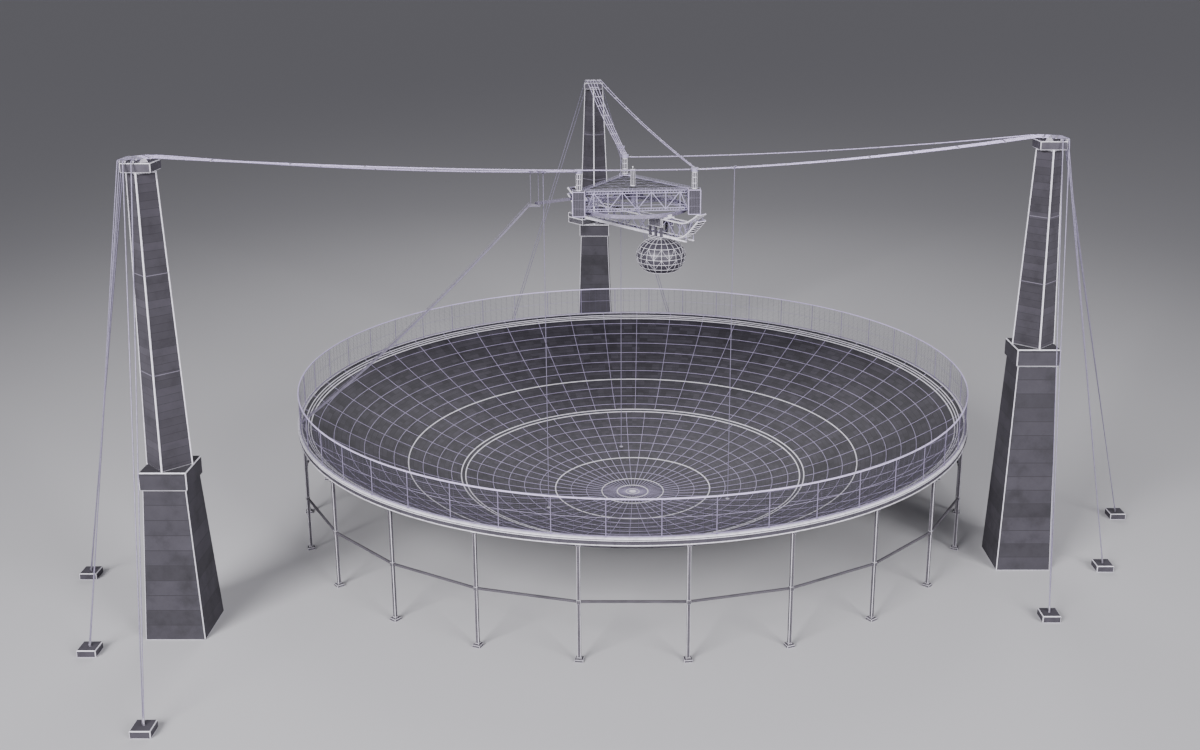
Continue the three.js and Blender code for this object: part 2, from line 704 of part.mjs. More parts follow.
// Azimuth arm: two bent side trusses, cross ties, carriage rails, and trucks that hang on the track
function buildArm() {
  const parts = [];
  const chord = squareBar(ARM_BAR);
  const thin = squareBar(0.4 * M);
  const stations = [];
  const flat = 32.5 * M;
  const flatBays = 10;
  for (let i = 0; i <= flatBays; i += 1) {
    stations.push(-flat + (2 * flat * i) / flatBays);
  }
  for (const x of [36.2 * M, 39.5 * M, 42.8 * M, ARM_HALF]) {
    stations.push(x);
    stations.unshift(-x);
  }
  for (const side of [-ARM_HALF_WIDTH, ARM_HALF_WIDTH]) {
    const upper = stations.map((x) => onArm(x, side, upperChord(x)));
    const lower = stations.map((x) => onArm(x, side, lowerChord(x)));
    const bends = (point, i) => i < ARM_BENDS || i >= stations.length - ARM_BENDS;
    parts.push(sweep(upper.filter(bends), chord), sweep(lower.filter(bends), chord));
    parts.push(bar(lower[0], upper[0], chord));
    parts.push(bar(lower[lower.length - 1], upper[upper.length - 1], chord));
    for (let i = 1; i < stations.length; i += 1) {
      const rising = i % 2 === 1;
      parts.push(bar(rising ? lower[i - 1] : upper[i - 1], rising ? upper[i] : lower[i], thin));
    }
  }
  stations.forEach((x, i) => {
    const heights = i % 2 === 0 ? [upperChord(x), lowerChord(x)] : [lowerChord(x)];
    for (const z of heights) {
      parts.push(bar(onArm(x, -ARM_HALF_WIDTH, z), onArm(x, ARM_HALF_WIDTH, z), thin));
    }
  });
  const railTop = ARM_LOW_Z - ARM_BAR / 2 + 0.1 * M;
  const railBottom = ARM_LOW_Z - ARM_BAR / 2 - RAIL_DEPTH;
  const flangeTop = railBottom + RAIL_FLANGE_THICKNESS;
  const [from, to] = [RAIL_FEED_END, RAIL_DOME_END];
  for (const side of [-ARM_HALF_WIDTH, ARM_HALF_WIDTH]) {
    parts.push(armBox(from, to, side - RAIL_WEB, side + RAIL_WEB, railBottom, railTop));
    parts.push(armBox(from, to, side - RAIL_FLANGE, side + RAIL_FLANGE, railBottom, flangeTop));
    for (const x of [from + 0.3 * M, to - 0.3 * M]) {
      parts.push(bar(onArm(x, side, railTop - 0.2 * M), onArm(x, side, lowerChord(x)), thin));
    }
  }
  addPiece("azimuth_arm", joinAll(parts), "steel");

  const plateBottom = ARM_TOP_Z + ARM_BAR / 2 + GAP;
  const cheekTop = TRACK_BOTTOM_Z + FLANGE_THICKNESS + 2.4 * WHEEL_RADIUS;
  const wheelZ = TRACK_BOTTOM_Z + FLANGE_THICKNESS + GAP + WHEEL_RADIUS;
  const plateTop = TRACK_BOTTOM_Z - 0.15 * M;
  const half = 1.2 * M;
  [-1, 1].forEach((side, index) => {
    const near = (x) => side * x;
    const span = (a, b) => [Math.min(near(a), near(b)), Math.max(near(a), near(b))];
    const [plateFrom, plateTo] = span(23.75 * M, 25.6 * M);
    const reach = ARM_HALF_WIDTH + ARM_BAR / 2;
    const truck = [armBox(plateFrom, plateTo, -reach, reach, plateBottom, plateTop)];
    for (const [from, to, tip] of [[23.75, 24, 24.38], [25.35, 25.6, 25.02]]) {
      const [cheekFrom, cheekTo] = span(from * M, to * M);
      truck.push(armBox(cheekFrom, cheekTo, -half, half, plateTop - 0.1 * M, cheekTop));
      for (const across of [-0.7 * M, 0.7 * M]) {
        const start = onArm(near(((from + to) / 2) * M), across, wheelZ);
        truck.push(bar(start, onArm(near(tip * M), across, wheelZ), WHEEL_RADIUS, 12));
      }
    }
    addPiece(`azimuth_truck_${index + 1}`, joinAll(truck), "steel");
  });
}

// Wheels of a carriage: four short axles that reach over the rail flanges from outside
function carriageWheels(centre, spacing, cheekInside) {
  const railBottom = ARM_LOW_Z - ARM_BAR / 2 - RAIL_DEPTH;
  const radius = 0.15 * M;
  const z = railBottom + RAIL_FLANGE_THICKNESS + GAP + radius;
  const wheels = [];
  for (const along of [-spacing, spacing]) {
    for (const side of [-1, 1]) {
      const tip = ARM_HALF_WIDTH + RAIL_WEB + 0.1 * M;
      const from = onArm(centre + along, side * (cheekInside + 0.2 * M), z);
      wheels.push(bar(from, onArm(centre + along, side * tip, z), radius, 12));
    }
  }
  return wheels;
}

// Feed carriage: a trough-shaped house that hangs on the rails and holds the lower chords between its sides
function buildFeedCarriage() {
  const inside = ARM_HALF_WIDTH + RAIL_FLANGE + 0.15 * M;
  const deckTop = ARM_LOW_Z - ARM_BAR / 2 - RAIL_DEPTH - 0.15 * M;
  const from = FEED_AT - FEED_LENGTH / 2;
  const to = FEED_AT + FEED_LENGTH / 2;
  const parts = [
    armBox(from, to, -FEED_HALF_WIDTH, FEED_HALF_WIDTH, FEED_BOTTOM_Z, deckTop),
    armBox(from, to, inside, FEED_HALF_WIDTH, deckTop - 0.1 * M, FEED_TOP_Z),
    armBox(from, to, -FEED_HALF_WIDTH, -inside, deckTop - 0.1 * M, FEED_TOP_Z),
    ...carriageWheels(FEED_AT, 4 * M, inside),
  ];
  addPiece("feed_carriage", joinAll(parts), "steel");
}

// Dome carriage: equipment rooms beside the arm, carried on posts from a deck under the rails
function buildDome() {
  const inside = ARM_HALF_WIDTH + RAIL_FLANGE + 0.15 * M;
  const wide = DOME_CARRIAGE_HALF_WIDTH;
  const deckTop = ARM_LOW_Z - ARM_BAR / 2 - RAIL_DEPTH - 0.15 * M;
  const deckBottom = deckTop - 0.7 * M;
  const roomBottom = RIM_Z + 86.5 * M;
  const roomTop = ARM_TOP_Z + 0.2 * M;
  const from = DOME_AT - DOME_CARRIAGE_LENGTH / 2;
  const to = DOME_AT + DOME_CARRIAGE_LENGTH / 2;
  const parts = [
    armBox(from, to, -wide, wide, deckBottom, deckTop),
    ...carriageWheels(DOME_AT, 3.75 * M, inside),
  ];
  for (const side of [-1, 1]) {
    const [a, b] = side < 0 ? [-wide, -inside] : [inside, wide];
    parts.push(armBox(from, to, a, b, roomBottom, roomTop));
    for (const x of [from, DOME_AT - 0.4 * M, to - 0.8 * M]) {
      parts.push(armBox(x, x + 0.8 * M, a, b, deckTop - 0.1 * M, roomBottom + 0.1 * M));
    }
  }
  addPiece("dome_carriage", joinAll(parts), "steel");

  const centreZ = deckBottom - GAP - DOME_HALF_HEIGHT;
  const mouth = Math.asin(DOME_MOUTH_RADIUS / DOME_RADIUS);
  const steps = 8;
  const profile = [];
  for (let i = 0; i <= steps; i += 1) {
    const angle = ((Math.PI - mouth) * i) / steps;
    profile.push([DOME_RADIUS * Math.sin(angle), centreZ + DOME_HALF_HEIGHT * Math.cos(angle)]);
  }
  for (let i = steps; i >= 0; i -= 1) {
    const angle = ((Math.PI - mouth) * i) / steps;
    const radius = (DOME_RADIUS - DOME_THICKNESS) * Math.sin(angle);
    profile.push([radius, centreZ + (DOME_HALF_HEIGHT - DOME_THICKNESS) * Math.cos(angle)]);
  }
  profile[0][0] = 0;
  profile[profile.length - 1][0] = 0;
  const shell = turned(profile.reverse(), 24);
  const place = onArm(DOME_AT, 0, 0);
  const neck = bar(vector(0, 0, deckBottom - 0.8 * M), vector(0, 0, deckBottom - GAP), 3 * M, 16);
  addPiece("dome_shell", shell.add(neck).translate([place.x, place.y, 0]), "dome");
}

// Tie-downs: one strand clamped to each tower's own cables, through the dish to a block below it
function buildTieDowns() {
  for (const tower of TOWERS) {
    const { angle } = CORNERS.find((corner) => corner.name === tower.own);
    const at = onCircle(TIE_RADIUS, angle);
    const blockTop = 3 * M;
    const clampZ = cableHeight(tower, at) - 0.2 * M - CABLE_RADIUS;
    const foot = at.clone().setZ(blockTop / 2);
    const half = vector(1.2 * M, 1.2 * M, 0);
    const tie = joinAll([
      bar(foot, at.clone().setZ(clampZ), TIE_STRAND_RADIUS, 6),
      cableClamp(tower, at),
      box(at.clone().sub(half), at.clone().add(half).setZ(blockTop)),
    ]);
    addPiece(`tie_down_${tower.own}`, tie, "cable");
  }
}

// A walkway trough along a list of points, its floor on them
function trough(points) {
  const along = points[points.length - 1].clone().sub(points[0]).setZ(0).normalize();
  const across = vector(-along.y, along.x, 0);
  const half = CATWALK_WIDTH / 2;
  const inner = half - CATWALK_WALL;
  const section = [
    [-half, 0],
    [half, 0],
    [half, CATWALK_HEIGHT],
    [inner, CATWALK_HEIGHT],
    [inner, CATWALK_WALL],
    [-inner, CATWALK_WALL],
    [-inner, CATWALK_HEIGHT],
    [-half, CATWALK_HEIGHT],
  ];
  const steps = points.length - 1;
  const shape = new THREE.Shape(section.map(([x, y]) => new THREE.Vector2(x, y)));
  const geometry = new THREE.ExtrudeGeometry(shape, { depth: 1, steps, bevelEnabled: false });
  const position = geometry.attributes.position;
  for (let i = 0; i < position.count; i += 1) {
    const row = Math.round(position.getZ(i) * steps);
    const point = points[row].clone().addScaledVector(across, position.getX(i));
    position.setXYZ(i, point.x, point.y, point.z + position.getY(i));
  }
  return solid(geometry);
}

// Catwalk: a hanging trough from the rim to a stage under the left tower's cables, the stage's two
// hangers, and a level bridge from it to the left corner house
function buildCatwalk() {
  const tower = TOWERS[0];
  const { angle } = CORNERS.find((corner) => corner.name === tower.own);
  const away = onCircle(1, angle);
  const sideways = vector(away.y, -away.x, 0);
  const stage = onCircle(LANDING_RADIUS, angle, LANDING_Z);
  const rimEnd = onCircle(GIRDER_RADIUS + 0.3 * M, CATWALK_RIM_ANGLE, RIM_Z + GAP);
  const inward = stage.clone().sub(rimEnd).setZ(0).normalize();
  const end = stage.clone().addScaledVector(inward, 0.2 * M - LANDING_HALF);
  const points = [];
  const steps = 12;
  for (let i = 0; i <= steps; i += 1) {
    const t = i / steps;
    const point = rimEnd.clone().lerp(end, t);
    point.z -= 4 * CATWALK_SAG * t * (1 - t);
    points.push(point);
  }

  const half = LANDING_HALF;
  const plate = new THREE.BoxGeometry(2 * half, 2 * half, LANDING_THICKNESS);
  plate.rotateZ(Math.atan2(inward.y, inward.x));
  plate.translate(stage.x, stage.y, stage.z + LANDING_THICKNESS / 2);
  const middle = stage.z + LANDING_THICKNESS / 2;
  const bridgeFrom = stage.clone().addScaledVector(away, -1.5 * M);
  bridgeFrom.addScaledVector(sideways, BRIDGE_OFFSET).setZ(middle);
  const bridgeTo = cornerPoint(tower.own, middle).addScaledVector(sideways, BRIDGE_OFFSET);
  const parts = [trough(points), solid(plate), trough([bridgeFrom, bridgeTo])];
  for (const shift of [-HANGER_REACH, HANGER_REACH]) {
    const at = stage.clone().addScaledVector(away, shift);
    const top = at.clone().setZ(cableHeight(tower, at) - 0.2 * M - CABLE_RADIUS);
    parts.push(bar(at.clone().setZ(middle), top, 0.16 * M, 6), cableClamp(tower, at));
  }
  const corner = cornerPoint(tower.own, 0);
  const reach = HOUSE_SIDE / 2 + GAP;
  const house = box(
    vector(corner.x - reach, corner.y - reach, 0),
    vector(corner.x + reach, corner.y + reach, HOUSE_TOP_Z),
  );
  addPiece("catwalk", joinAll(parts).subtract(house), "steel");
}

buildReflector();
buildRimFrame();
buildGroundScreen();
for (const tower of TOWERS) {
  buildTower(tower);
  buildCables(tower);
}
buildPlatform();
buildTrack();
buildArm();
buildFeedCarriage();
buildDome();
buildTieDowns();
buildCatwalk();

export default model;
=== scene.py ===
import math

import bpy
from mathutils import Matrix, Vector


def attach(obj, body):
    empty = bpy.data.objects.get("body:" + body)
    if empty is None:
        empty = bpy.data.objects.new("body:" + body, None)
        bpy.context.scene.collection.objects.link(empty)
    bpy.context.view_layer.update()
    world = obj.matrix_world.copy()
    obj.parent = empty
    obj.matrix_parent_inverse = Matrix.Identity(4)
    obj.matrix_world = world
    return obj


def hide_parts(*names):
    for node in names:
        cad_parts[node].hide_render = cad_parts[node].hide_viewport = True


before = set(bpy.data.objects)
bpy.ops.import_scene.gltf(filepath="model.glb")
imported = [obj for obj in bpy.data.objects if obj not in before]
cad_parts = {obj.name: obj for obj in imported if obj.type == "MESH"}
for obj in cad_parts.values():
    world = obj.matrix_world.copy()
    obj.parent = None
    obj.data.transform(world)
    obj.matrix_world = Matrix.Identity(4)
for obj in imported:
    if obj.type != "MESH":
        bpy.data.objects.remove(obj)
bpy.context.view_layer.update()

bpy.ops.object.select_all(action="DESELECT")

# The bowl
# A shallow cap of a sphere, laid with perforated aluminium sheet that has gone dark in the
# weather. The sheets lie in rings; pale cover strips hide the joints between the main panels.
metre = 0.05  # one metre of the real telescope
sphere_radius = 265 * metre
sphere_z = 266.8 * metre  # height of the sphere's centre
rim_radius = 152.5 * metre
rim_z = sphere_z - math.sqrt(sphere_radius**2 - rim_radius**2)
lavender = (0.56, 0.49, 0.74)
bone = (0.82, 0.79, 0.88)


def deselect():
    if bpy.context.object and bpy.context.object.mode != "OBJECT":
        bpy.ops.object.mode_set(mode="OBJECT")
    bpy.ops.object.select_all(action="DESELECT")


def join(pieces):
    deselect()
    for piece in pieces:
        piece.select_set(True)
    bpy.context.view_layer.objects.active = pieces[0]
    bpy.context.view_layer.update()
    if len(pieces) > 1:
        bpy.ops.object.join()
    bpy.ops.object.transform_apply(location=True, rotation=True, scale=True)
    return bpy.context.object


# One mesh that holds a copy of the piece at each place
def repeat(piece, places):
    piece = join([piece])
    copies = []
    for place in places:
        copy = bpy.data.objects.new(piece.name, piece.data.copy())
        bpy.context.collection.objects.link(copy)
        copy.matrix_world = place
        copies.append(copy)
    bpy.data.objects.remove(piece)
    return join(copies)


# Even turns about the dish's axis
def around(count, start=0.0):
    return [Matrix.Rotation(math.radians(start + 360 * i / count), 4, "Z") for i in range(count)]


# The finished piece gets its name, finish and body, and the solids that it stands for
def fit(piece, name, body, slot, *materials, stands_for=()):
    deselect()
    piece.select_set(True)
    bpy.context.view_layer.objects.active = piece
    bpy.ops.object.transform_apply(location=True, rotation=True, scale=True)
    piece.name = piece.data.name = name
    if materials:
        piece.data.materials.clear()
        for material in materials:
            piece.data.materials.append(material)
    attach(piece, body)
    if stands_for:
        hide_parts(*stands_for)
    deselect()


def node(tree, kind, inputs, **settings):
    made = tree.nodes.new(kind)
    for key, value in settings.items():
        setattr(made, key, value)
    for key, value in inputs.items():
        if isinstance(value, bpy.types.NodeSocket):
            tree.links.new(value, made.inputs[key])
        else:
            made.inputs[key].default_value = value
    return made


def ramp(tree, factor, *stops):
    made = node(tree, "ShaderNodeValToRGB", {"Fac": factor})
    elements = made.color_ramp.elements
    for element, (position, colour) in zip((elements[0], elements[1]), (stops[0], stops[-1])):
        element.position = position
        element.color = (*colour, 1)
    for position, colour in stops[1:-1]:
        elements.new(position).color = (*colour, 1)
    return made.outputs["Color"]


def shaded(colour, amount):
    return tuple(channel * amount for channel in colour)


# A finish whose tint drifts in clouds, and whose gloss and relief follow fine pits
def weathered(name, colour, roughness, metallic=0.0, grain=4.0, spread=0.35, bump=0.15, pits=60.0):
    material = bpy.data.materials.new(name)
    material.use_nodes = True
    tree = material.node_tree
    shader = tree.nodes["Principled BSDF"]
    place = tree.nodes.new("ShaderNodeTexCoord").outputs["Object"]
    clouds = node(
        tree, "ShaderNodeTexNoise", {"Vector": place, "Scale": grain, "Detail": 9.0, "Roughness": 0.62}
    ).outputs["Fac"]
    fine = node(
        tree, "ShaderNodeTexNoise", {"Vector": place, "Scale": pits, "Detail": 4.0, "Roughness": 0.6}
    ).outputs["Fac"]
    tint = ramp(
        tree,
        clouds,
        (0.3, shaded(colour, 1 - spread)),
        (0.5, colour),
        (0.72, shaded(colour, 1 + spread * 0.5)),
    )
    tree.links.new(tint, shader.inputs["Base Color"])
    gloss = node(
        tree,
        "ShaderNodeMapRange",
        {"Value": fine, "To Min": roughness - 0.12, "To Max": roughness + 0.12},
    )
    tree.links.new(gloss.outputs["Result"], shader.inputs["Roughness"])
    relief = node(tree, "ShaderNodeBump", {"Height": fine, "Strength": bump, "Distance": 0.004})
    tree.links.new(relief.outputs["Normal"], shader.inputs["Normal"])
    shader.inputs["Metallic"].default_value = metallic
    return material


# Perforated sheet: each sheet is a step lighter or darker than its neighbours, with small punched
# holes and a dark joint along each ring of sheets.
perforated = weathered(
    "perforated aluminium sheet",
    (0.05, 0.045, 0.06),
    roughness=0.5,
    metallic=0.55,
    grain=1.2,
    spread=0.3,
    bump=0.1,
    pits=160,
)
sheet_width = 2 * metre
sheets_round = 192
joint_share = 0.05
punch_scale = 110.0
punch_size = 0.22
tree = perforated.node_tree
place = next(n for n in tree.nodes if n.bl_idname == "ShaderNodeTexCoord").outputs["Object"]
shader = tree.nodes["Principled BSDF"]
axes = node(tree, "ShaderNodeSeparateXYZ", {"Vector": place}).outputs
flat = node(tree, "ShaderNodeCombineXYZ", {"X": axes["X"], "Y": axes["Y"]}).outputs["Vector"]
reach = node(tree, "ShaderNodeVectorMath", {0: flat}, operation="LENGTH").outputs["Value"]
turn = node(tree, "ShaderNodeMath", {0: axes["Y"], 1: axes["X"]}, operation="ARCTAN2").outputs["Value"]
ring_count = node(tree, "ShaderNodeMath", {0: reach, 1: 1 / sheet_width}, operation="MULTIPLY")
spoke_count = node(
    tree, "ShaderNodeMath", {0: turn, 1: sheets_round / math.tau}, operation="MULTIPLY"
)
ring_cell = node(tree, "ShaderNodeMath", {0: ring_count.outputs[0]}, operation="FLOOR").outputs[0]
spoke_cell = node(tree, "ShaderNodeMath", {0: spoke_count.outputs[0]}, operation="FLOOR").outputs[0]
cell = node(tree, "ShaderNodeCombineXYZ", {"X": ring_cell, "Y": spoke_cell}).outputs["Vector"]
chance = node(tree, "ShaderNodeTexWhiteNoise", {"Vector": cell}, noise_dimensions="3D").outputs["Value"]
joint = node(tree, "ShaderNodeMath", {0: ring_count.outputs[0]}, operation="FRACT").outputs[0]
open_joint = node(
    tree, "ShaderNodeMath", {0: joint, 1: joint_share}, operation="LESS_THAN"
).outputs[0]
holes = node(
    tree, "ShaderNodeTexVoronoi", {"Vector": place, "Scale": punch_scale}
).outputs["Distance"]
punched = node(
    tree, "ShaderNodeMath", {0: holes, 1: punch_size}, operation="LESS_THAN"
).outputs[0]
dark = node(tree, "ShaderNodeMath", {0: open_joint, 1: punched}, operation="MAXIMUM").outputs[0]
tint = shader.inputs["Base Color"].links[0].from_socket
step = node(tree, "ShaderNodeMapRange", {"Value": chance, "To Min": 0.72, "To Max": 1.3})
varied = node(tree, "ShaderNodeVectorMath", {0: tint, 3: step.outputs["Result"]}, operation="SCALE")
sheet_colour = node(
    tree,
    "ShaderNodeMix",
    {0: dark, 6: varied.outputs["Vector"], 7: (0.008, 0.007, 0.01, 1)},
    data_type="RGBA",
).outputs[2]
tree.links.new(sheet_colour, shader.inputs["Base Color"])

shell_thickness = 0.5 * metre
bpy.ops.mesh.primitive_uv_sphere_add(
    segments=192, ring_count=160, radius=sphere_radius, location=(0, 0, sphere_z)
)
bowl = bpy.context.object
bpy.ops.object.mode_set(mode="EDIT")
bpy.ops.mesh.bisect(plane_co=(0, 0, rim_z), plane_no=(0, 0, 1), clear_outer=True)
bpy.ops.object.mode_set(mode="OBJECT")
sheet = bowl.modifiers.new("sheet", "SOLIDIFY")
sheet.thickness = shell_thickness
sheet.offset = 1
bpy.ops.object.modifier_apply(modifier="sheet")
bpy.ops.object.shade_smooth_by_angle(angle=math.radians(40))
fit(
    bowl,
    "bowl",
    "structure",
    "reflector",
    perforated,
    stands_for=["reflector_centre", *(f"reflector_quarter_{i}" for i in range(1, 5))],
)


# A closed hoop of rectangular section round the dish's axis
def hoop(radius, height, width, depth, tilt=0.0, steps=192):
    deselect()
    bpy.ops.mesh.primitive_plane_add(
        size=1, location=(radius, 0, height), rotation=(math.pi / 2, -tilt, 0)
    )
    made = bpy.context.object
    made.scale = (width, depth, 1)
    bpy.ops.object.transform_apply(location=True, rotation=True, scale=True)
    bpy.ops.object.mode_set(mode="EDIT")
    bpy.ops.mesh.select_all(action="SELECT")
    bpy.ops.mesh.delete(type="ONLY_FACE")
    bpy.ops.mesh.select_all(action="SELECT")
    bpy.ops.mesh.spin(steps=steps, angle=math.tau, center=(0, 0, 0), axis=(0, 0, 1))
    bpy.ops.mesh.select_all(action="SELECT")
    bpy.ops.mesh.remove_doubles(threshold=0.00002)
    bpy.ops.mesh.normals_make_consistent(inside=False)
    bpy.ops.object.mode_set(mode="OBJECT")
    return made


# A strip that climbs the bowl from one distance off the axis to another
def climbing_strip(shell, near, far, width, depth, steps):
    deselect()
    tilt = math.asin(near / shell)
    bpy.ops.mesh.primitive_plane_add(size=1, rotation=(0, math.pi / 2, 0))
    made = bpy.context.object
    made.scale = (depth, width, 1)
    bpy.ops.object.transform_apply(location=True, rotation=True, scale=True)
    made.matrix_world = (
        Matrix.Translation((0, 0, sphere_z))
        @ Matrix.Rotation(-tilt, 4, "Y")
        @ Matrix.Translation((0, 0, -shell))
    )
    bpy.ops.object.transform_apply(location=True, rotation=True, scale=True)
    bpy.ops.object.mode_set(mode="EDIT")
    bpy.ops.mesh.select_all(action="SELECT")
    bpy.ops.mesh.spin(
        steps=steps, angle=math.asin(far / shell) - tilt, center=(0, 0, sphere_z), axis=(0, 1, 0)
    )
    bpy.ops.mesh.select_all(action="SELECT")
    bpy.ops.mesh.normals_make_consistent(inside=False)
    bpy.ops.object.mode_set(mode="OBJECT")
    return made


def bowl_hoop(distance, width, depth, shell=sphere_radius, steps=192):
    tilt = math.asin(distance / shell)
    return hoop(distance, sphere_z - shell * math.cos(tilt), width, depth, tilt, steps)


cover_strip = weathered(
    "galvanised cover strip",
    shaded(lavender, 0.7),
    roughness=0.5,
    metallic=0.3,
    grain=8,
    spread=0.3,
)
bright_strip = weathered(
    "bright cover strip", bone, roughness=0.45, metallic=0.3, grain=8, spread=0.2
)

# The strips lie in an inner field and an outer band, each with its own spacing of radials.
# These distances from the axis are in metres.
strip_shell = sphere_radius - 0.1 * metre
strip_depth = 0.14 * metre
ring_strip_width = 0.24 * metre
radial_strip_width = 0.22 * metre
hub_strip_width = 0.13 * metre
hub_start = 1.5
hub_end = 7.5
field_end = 82
band_start = 80
band_end = 152.3
rows = 11
ring_distances = [field_end * k / rows for k in range(1, rows)]
ring_distances += [band_start + (band_end - band_start) * k / rows for k in range(1, rows)]
rings = [bowl_hoop(r * metre, ring_strip_width, strip_depth, strip_shell) for r in ring_distances]
fields = []
for near, far, width, steps in (
    (hub_end, band_start, radial_strip_width, 18),
    (field_end, band_end, radial_strip_width, 16),
    (hub_start, hub_end, hub_strip_width, 3),
):
    fields.append(climbing_strip(strip_shell, near * metre, far * metre, width, strip_depth, steps))
field_strip, band_strip, hub_strip = fields
fit(join(rings), "ring_cover_strips", "structure", "screen", cover_strip)
inner_places = around(49, 4.2)
outer_places = around(48, 6.4)
strips = [repeat(piece, inner_places) for piece in (hub_strip, field_strip)]
strips.append(repeat(band_strip, outer_places))
fit(join(strips), "radial_cover_strips", "structure", "screen", cover_strip)

# Distance from the axis and width of each bold ring, in metres
bold = []
for distance, width in (
    (0.9, 1.6),
    (3.2, 0.3),
    (7.46, 0.4),
    (14.9, 0.36),
    (37.3, 0.5),
    (80, 0.5),
    (82, 0.5),
    (106.3, 0.5),
    (148.9, 0.5),
    (150, 0.4),
    (151, 0.4),
):
    bold.append(bowl_hoop(distance * metre, width * metre, 0.18 * metre, strip_shell))
fit(join(bold), "bright_ring_strips", "structure", "screen", bright_strip)

# Ribs and rings of angle steel that back the sheet from below.
backing_steel = weathered(
    "backing steel", (0.12, 0.11, 0.14), roughness=0.6, metallic=0.5, grain=6, spread=0.3
)
back_shell = sphere_radius + 0.62 * metre
rib_size = 0.3 * metre
rib_start = 8 * metre
rib_end = 152 * metre
rib = climbing_strip(back_shell, rib_start, rib_end, rib_size, rib_size, 28)
backing = [repeat(rib, around(48, 3.75))]
for distance in range(20, 150, 14):
    backing.append(bowl_hoop(distance * metre, rib_size, rib_size, back_shell, 96))
fit(join(backing), "bowl_backing_ribs", "structure", "reflector", backing_steel)

# Pad under the bowl
# A low disc of concrete, cast on the ground with a sloping side, that bears the bowl's lowest
# point.
rough_concrete = weathered(
    "rough cast concrete",
    (0.15, 0.137, 0.165),
    roughness=0.9,
    metallic=0,
    grain=3,
    spread=0.4,
    bump=0.35,
    pits=90,
)
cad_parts["centre_pad"].data.materials.clear()
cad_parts["centre_pad"].data.materials.append(rough_concrete)

# Rim girder and columns
# A deep ring beam of cast concrete with a pale kerb and flange and a row of stiffening ribs. Its
# square columns stand on footings and are tied to each other half way down.
smooth_concrete = weathered(
    "smooth cast concrete",
    (0.07, 0.063, 0.082),
    roughness=0.82,
    metallic=0,
    grain=3,
    spread=0.3,
    bump=0.25,
    pits=80,
)
kerb_paint = weathered("pale kerb", bone, roughness=0.6, metallic=0, grain=10, spread=0.25)
middle = rim_radius + 1.0 * metre
girder_middle = rim_z - 1.5 * metre
girder_width = 1.5 * metre
girder_depth = 2.6 * metre
girder = [
    hoop(middle, girder_middle, girder_width, girder_depth),
    hoop(middle, girder_middle - 0.15 * metre, 1.9 * metre, 0.25 * metre),
]
deselect()
bpy.ops.mesh.primitive_cube_add(size=1, location=(rim_radius + 1.82 * metre, 0, girder_middle))
stiffener = bpy.context.object
stiffener.scale = (0.2 * metre, 0.14 * metre, 2.5 * metre)
girder.append(repeat(stiffener, around(144)))
fit(join(girder), "rim_girder", "structure", "concrete", smooth_concrete)

# How far out of the girder's middle and below the rim each pale hoop lies, its width and depth
kerbs = []
for out, drop, width, depth in (
    (0, 0.26, 1.98, 0.5),
    (0.86, 1.02, 0.22, 0.22),
    (0, 2.84, 1.98, 0.3),
):
    kerbs.append(hoop(middle + out * metre, rim_z - drop * metre, width * metre, depth * metre))
fit(join(kerbs), "rim_kerb_and_flange", "structure", "screen", kerb_paint)


# Every edge of a piece is cut to a narrow arris, which can have a colour of its own
def arrissed(piece, width, surface=None, edge=None):
    deselect()
    piece.select_set(True)
    bpy.context.view_layer.objects.active = piece
    bpy.ops.object.transform_apply(location=False, rotation=False, scale=True)
    if surface:
        piece.data.materials.append(surface)
        piece.data.materials.append(edge or surface)
    bpy.ops.object.mode_set(mode="EDIT")
    bpy.ops.mesh.select_all(action="SELECT")
    bpy.ops.mesh.bevel(offset=width, offset_type="OFFSET", segments=1, material=1 if edge else -1)
    bpy.ops.object.mode_set(mode="OBJECT")
    return piece


def block(low, high, surface=None, arris=0.0, edge=None):
    deselect()
    low, high = Vector(low), Vector(high)
    bpy.ops.mesh.primitive_cube_add(size=1, location=(low + high) / 2)
    piece = bpy.context.object
    piece.scale = high - low
    if arris:
        arrissed(piece, arris, surface, edge)
    elif surface:
        piece.data.materials.append(surface)
    return piece


column_concrete = weathered(
    "column concrete",
    (0.09, 0.082, 0.1),
    roughness=0.85,
    metallic=0,
    grain=3,
    spread=0.3,
    bump=0.3,
    pits=80,
)
column_top = rim_z - 3 * metre
column_turn = 7.5
tie_z = 24 * metre
tie_size = 0.8 * metre

# Half width, foot, top and arris of the shaft, footing, plinth, head and middle collar
column = []
for half, low, high, arris in (
    (0.62 * metre, 1 * metre, column_top, 0.14 * metre),
    (1.6 * metre, 0, 0.97 * metre, 0.1 * metre),
    (0.9 * metre, 0.97 * metre, 1.6 * metre, 0.08 * metre),
    (0.92 * metre, column_top - 0.8 * metre, column_top, 0.08 * metre),
    (0.8 * metre, 23.2 * metre, 24.8 * metre, 0.08 * metre),
):
    corner = (middle + half, half, high)
    column.append(block((middle - half, -half, low), corner, column_concrete, arris, kerb_paint))
columns = repeat(join(column), around(24, column_turn))
tie = hoop(middle, tie_z, tie_size, tie_size, 0, 24)
tie.data.transform(Matrix.Rotation(math.radians(column_turn), 4, "Z"))
tie.data.materials.append(column_concrete)
fit(
    join([columns, tie]),
    "rim_columns",
    "structure",
    "concrete",
    stands_for=[f"rim_frame_quarter_{i}" for i in range(1, 5)],
)

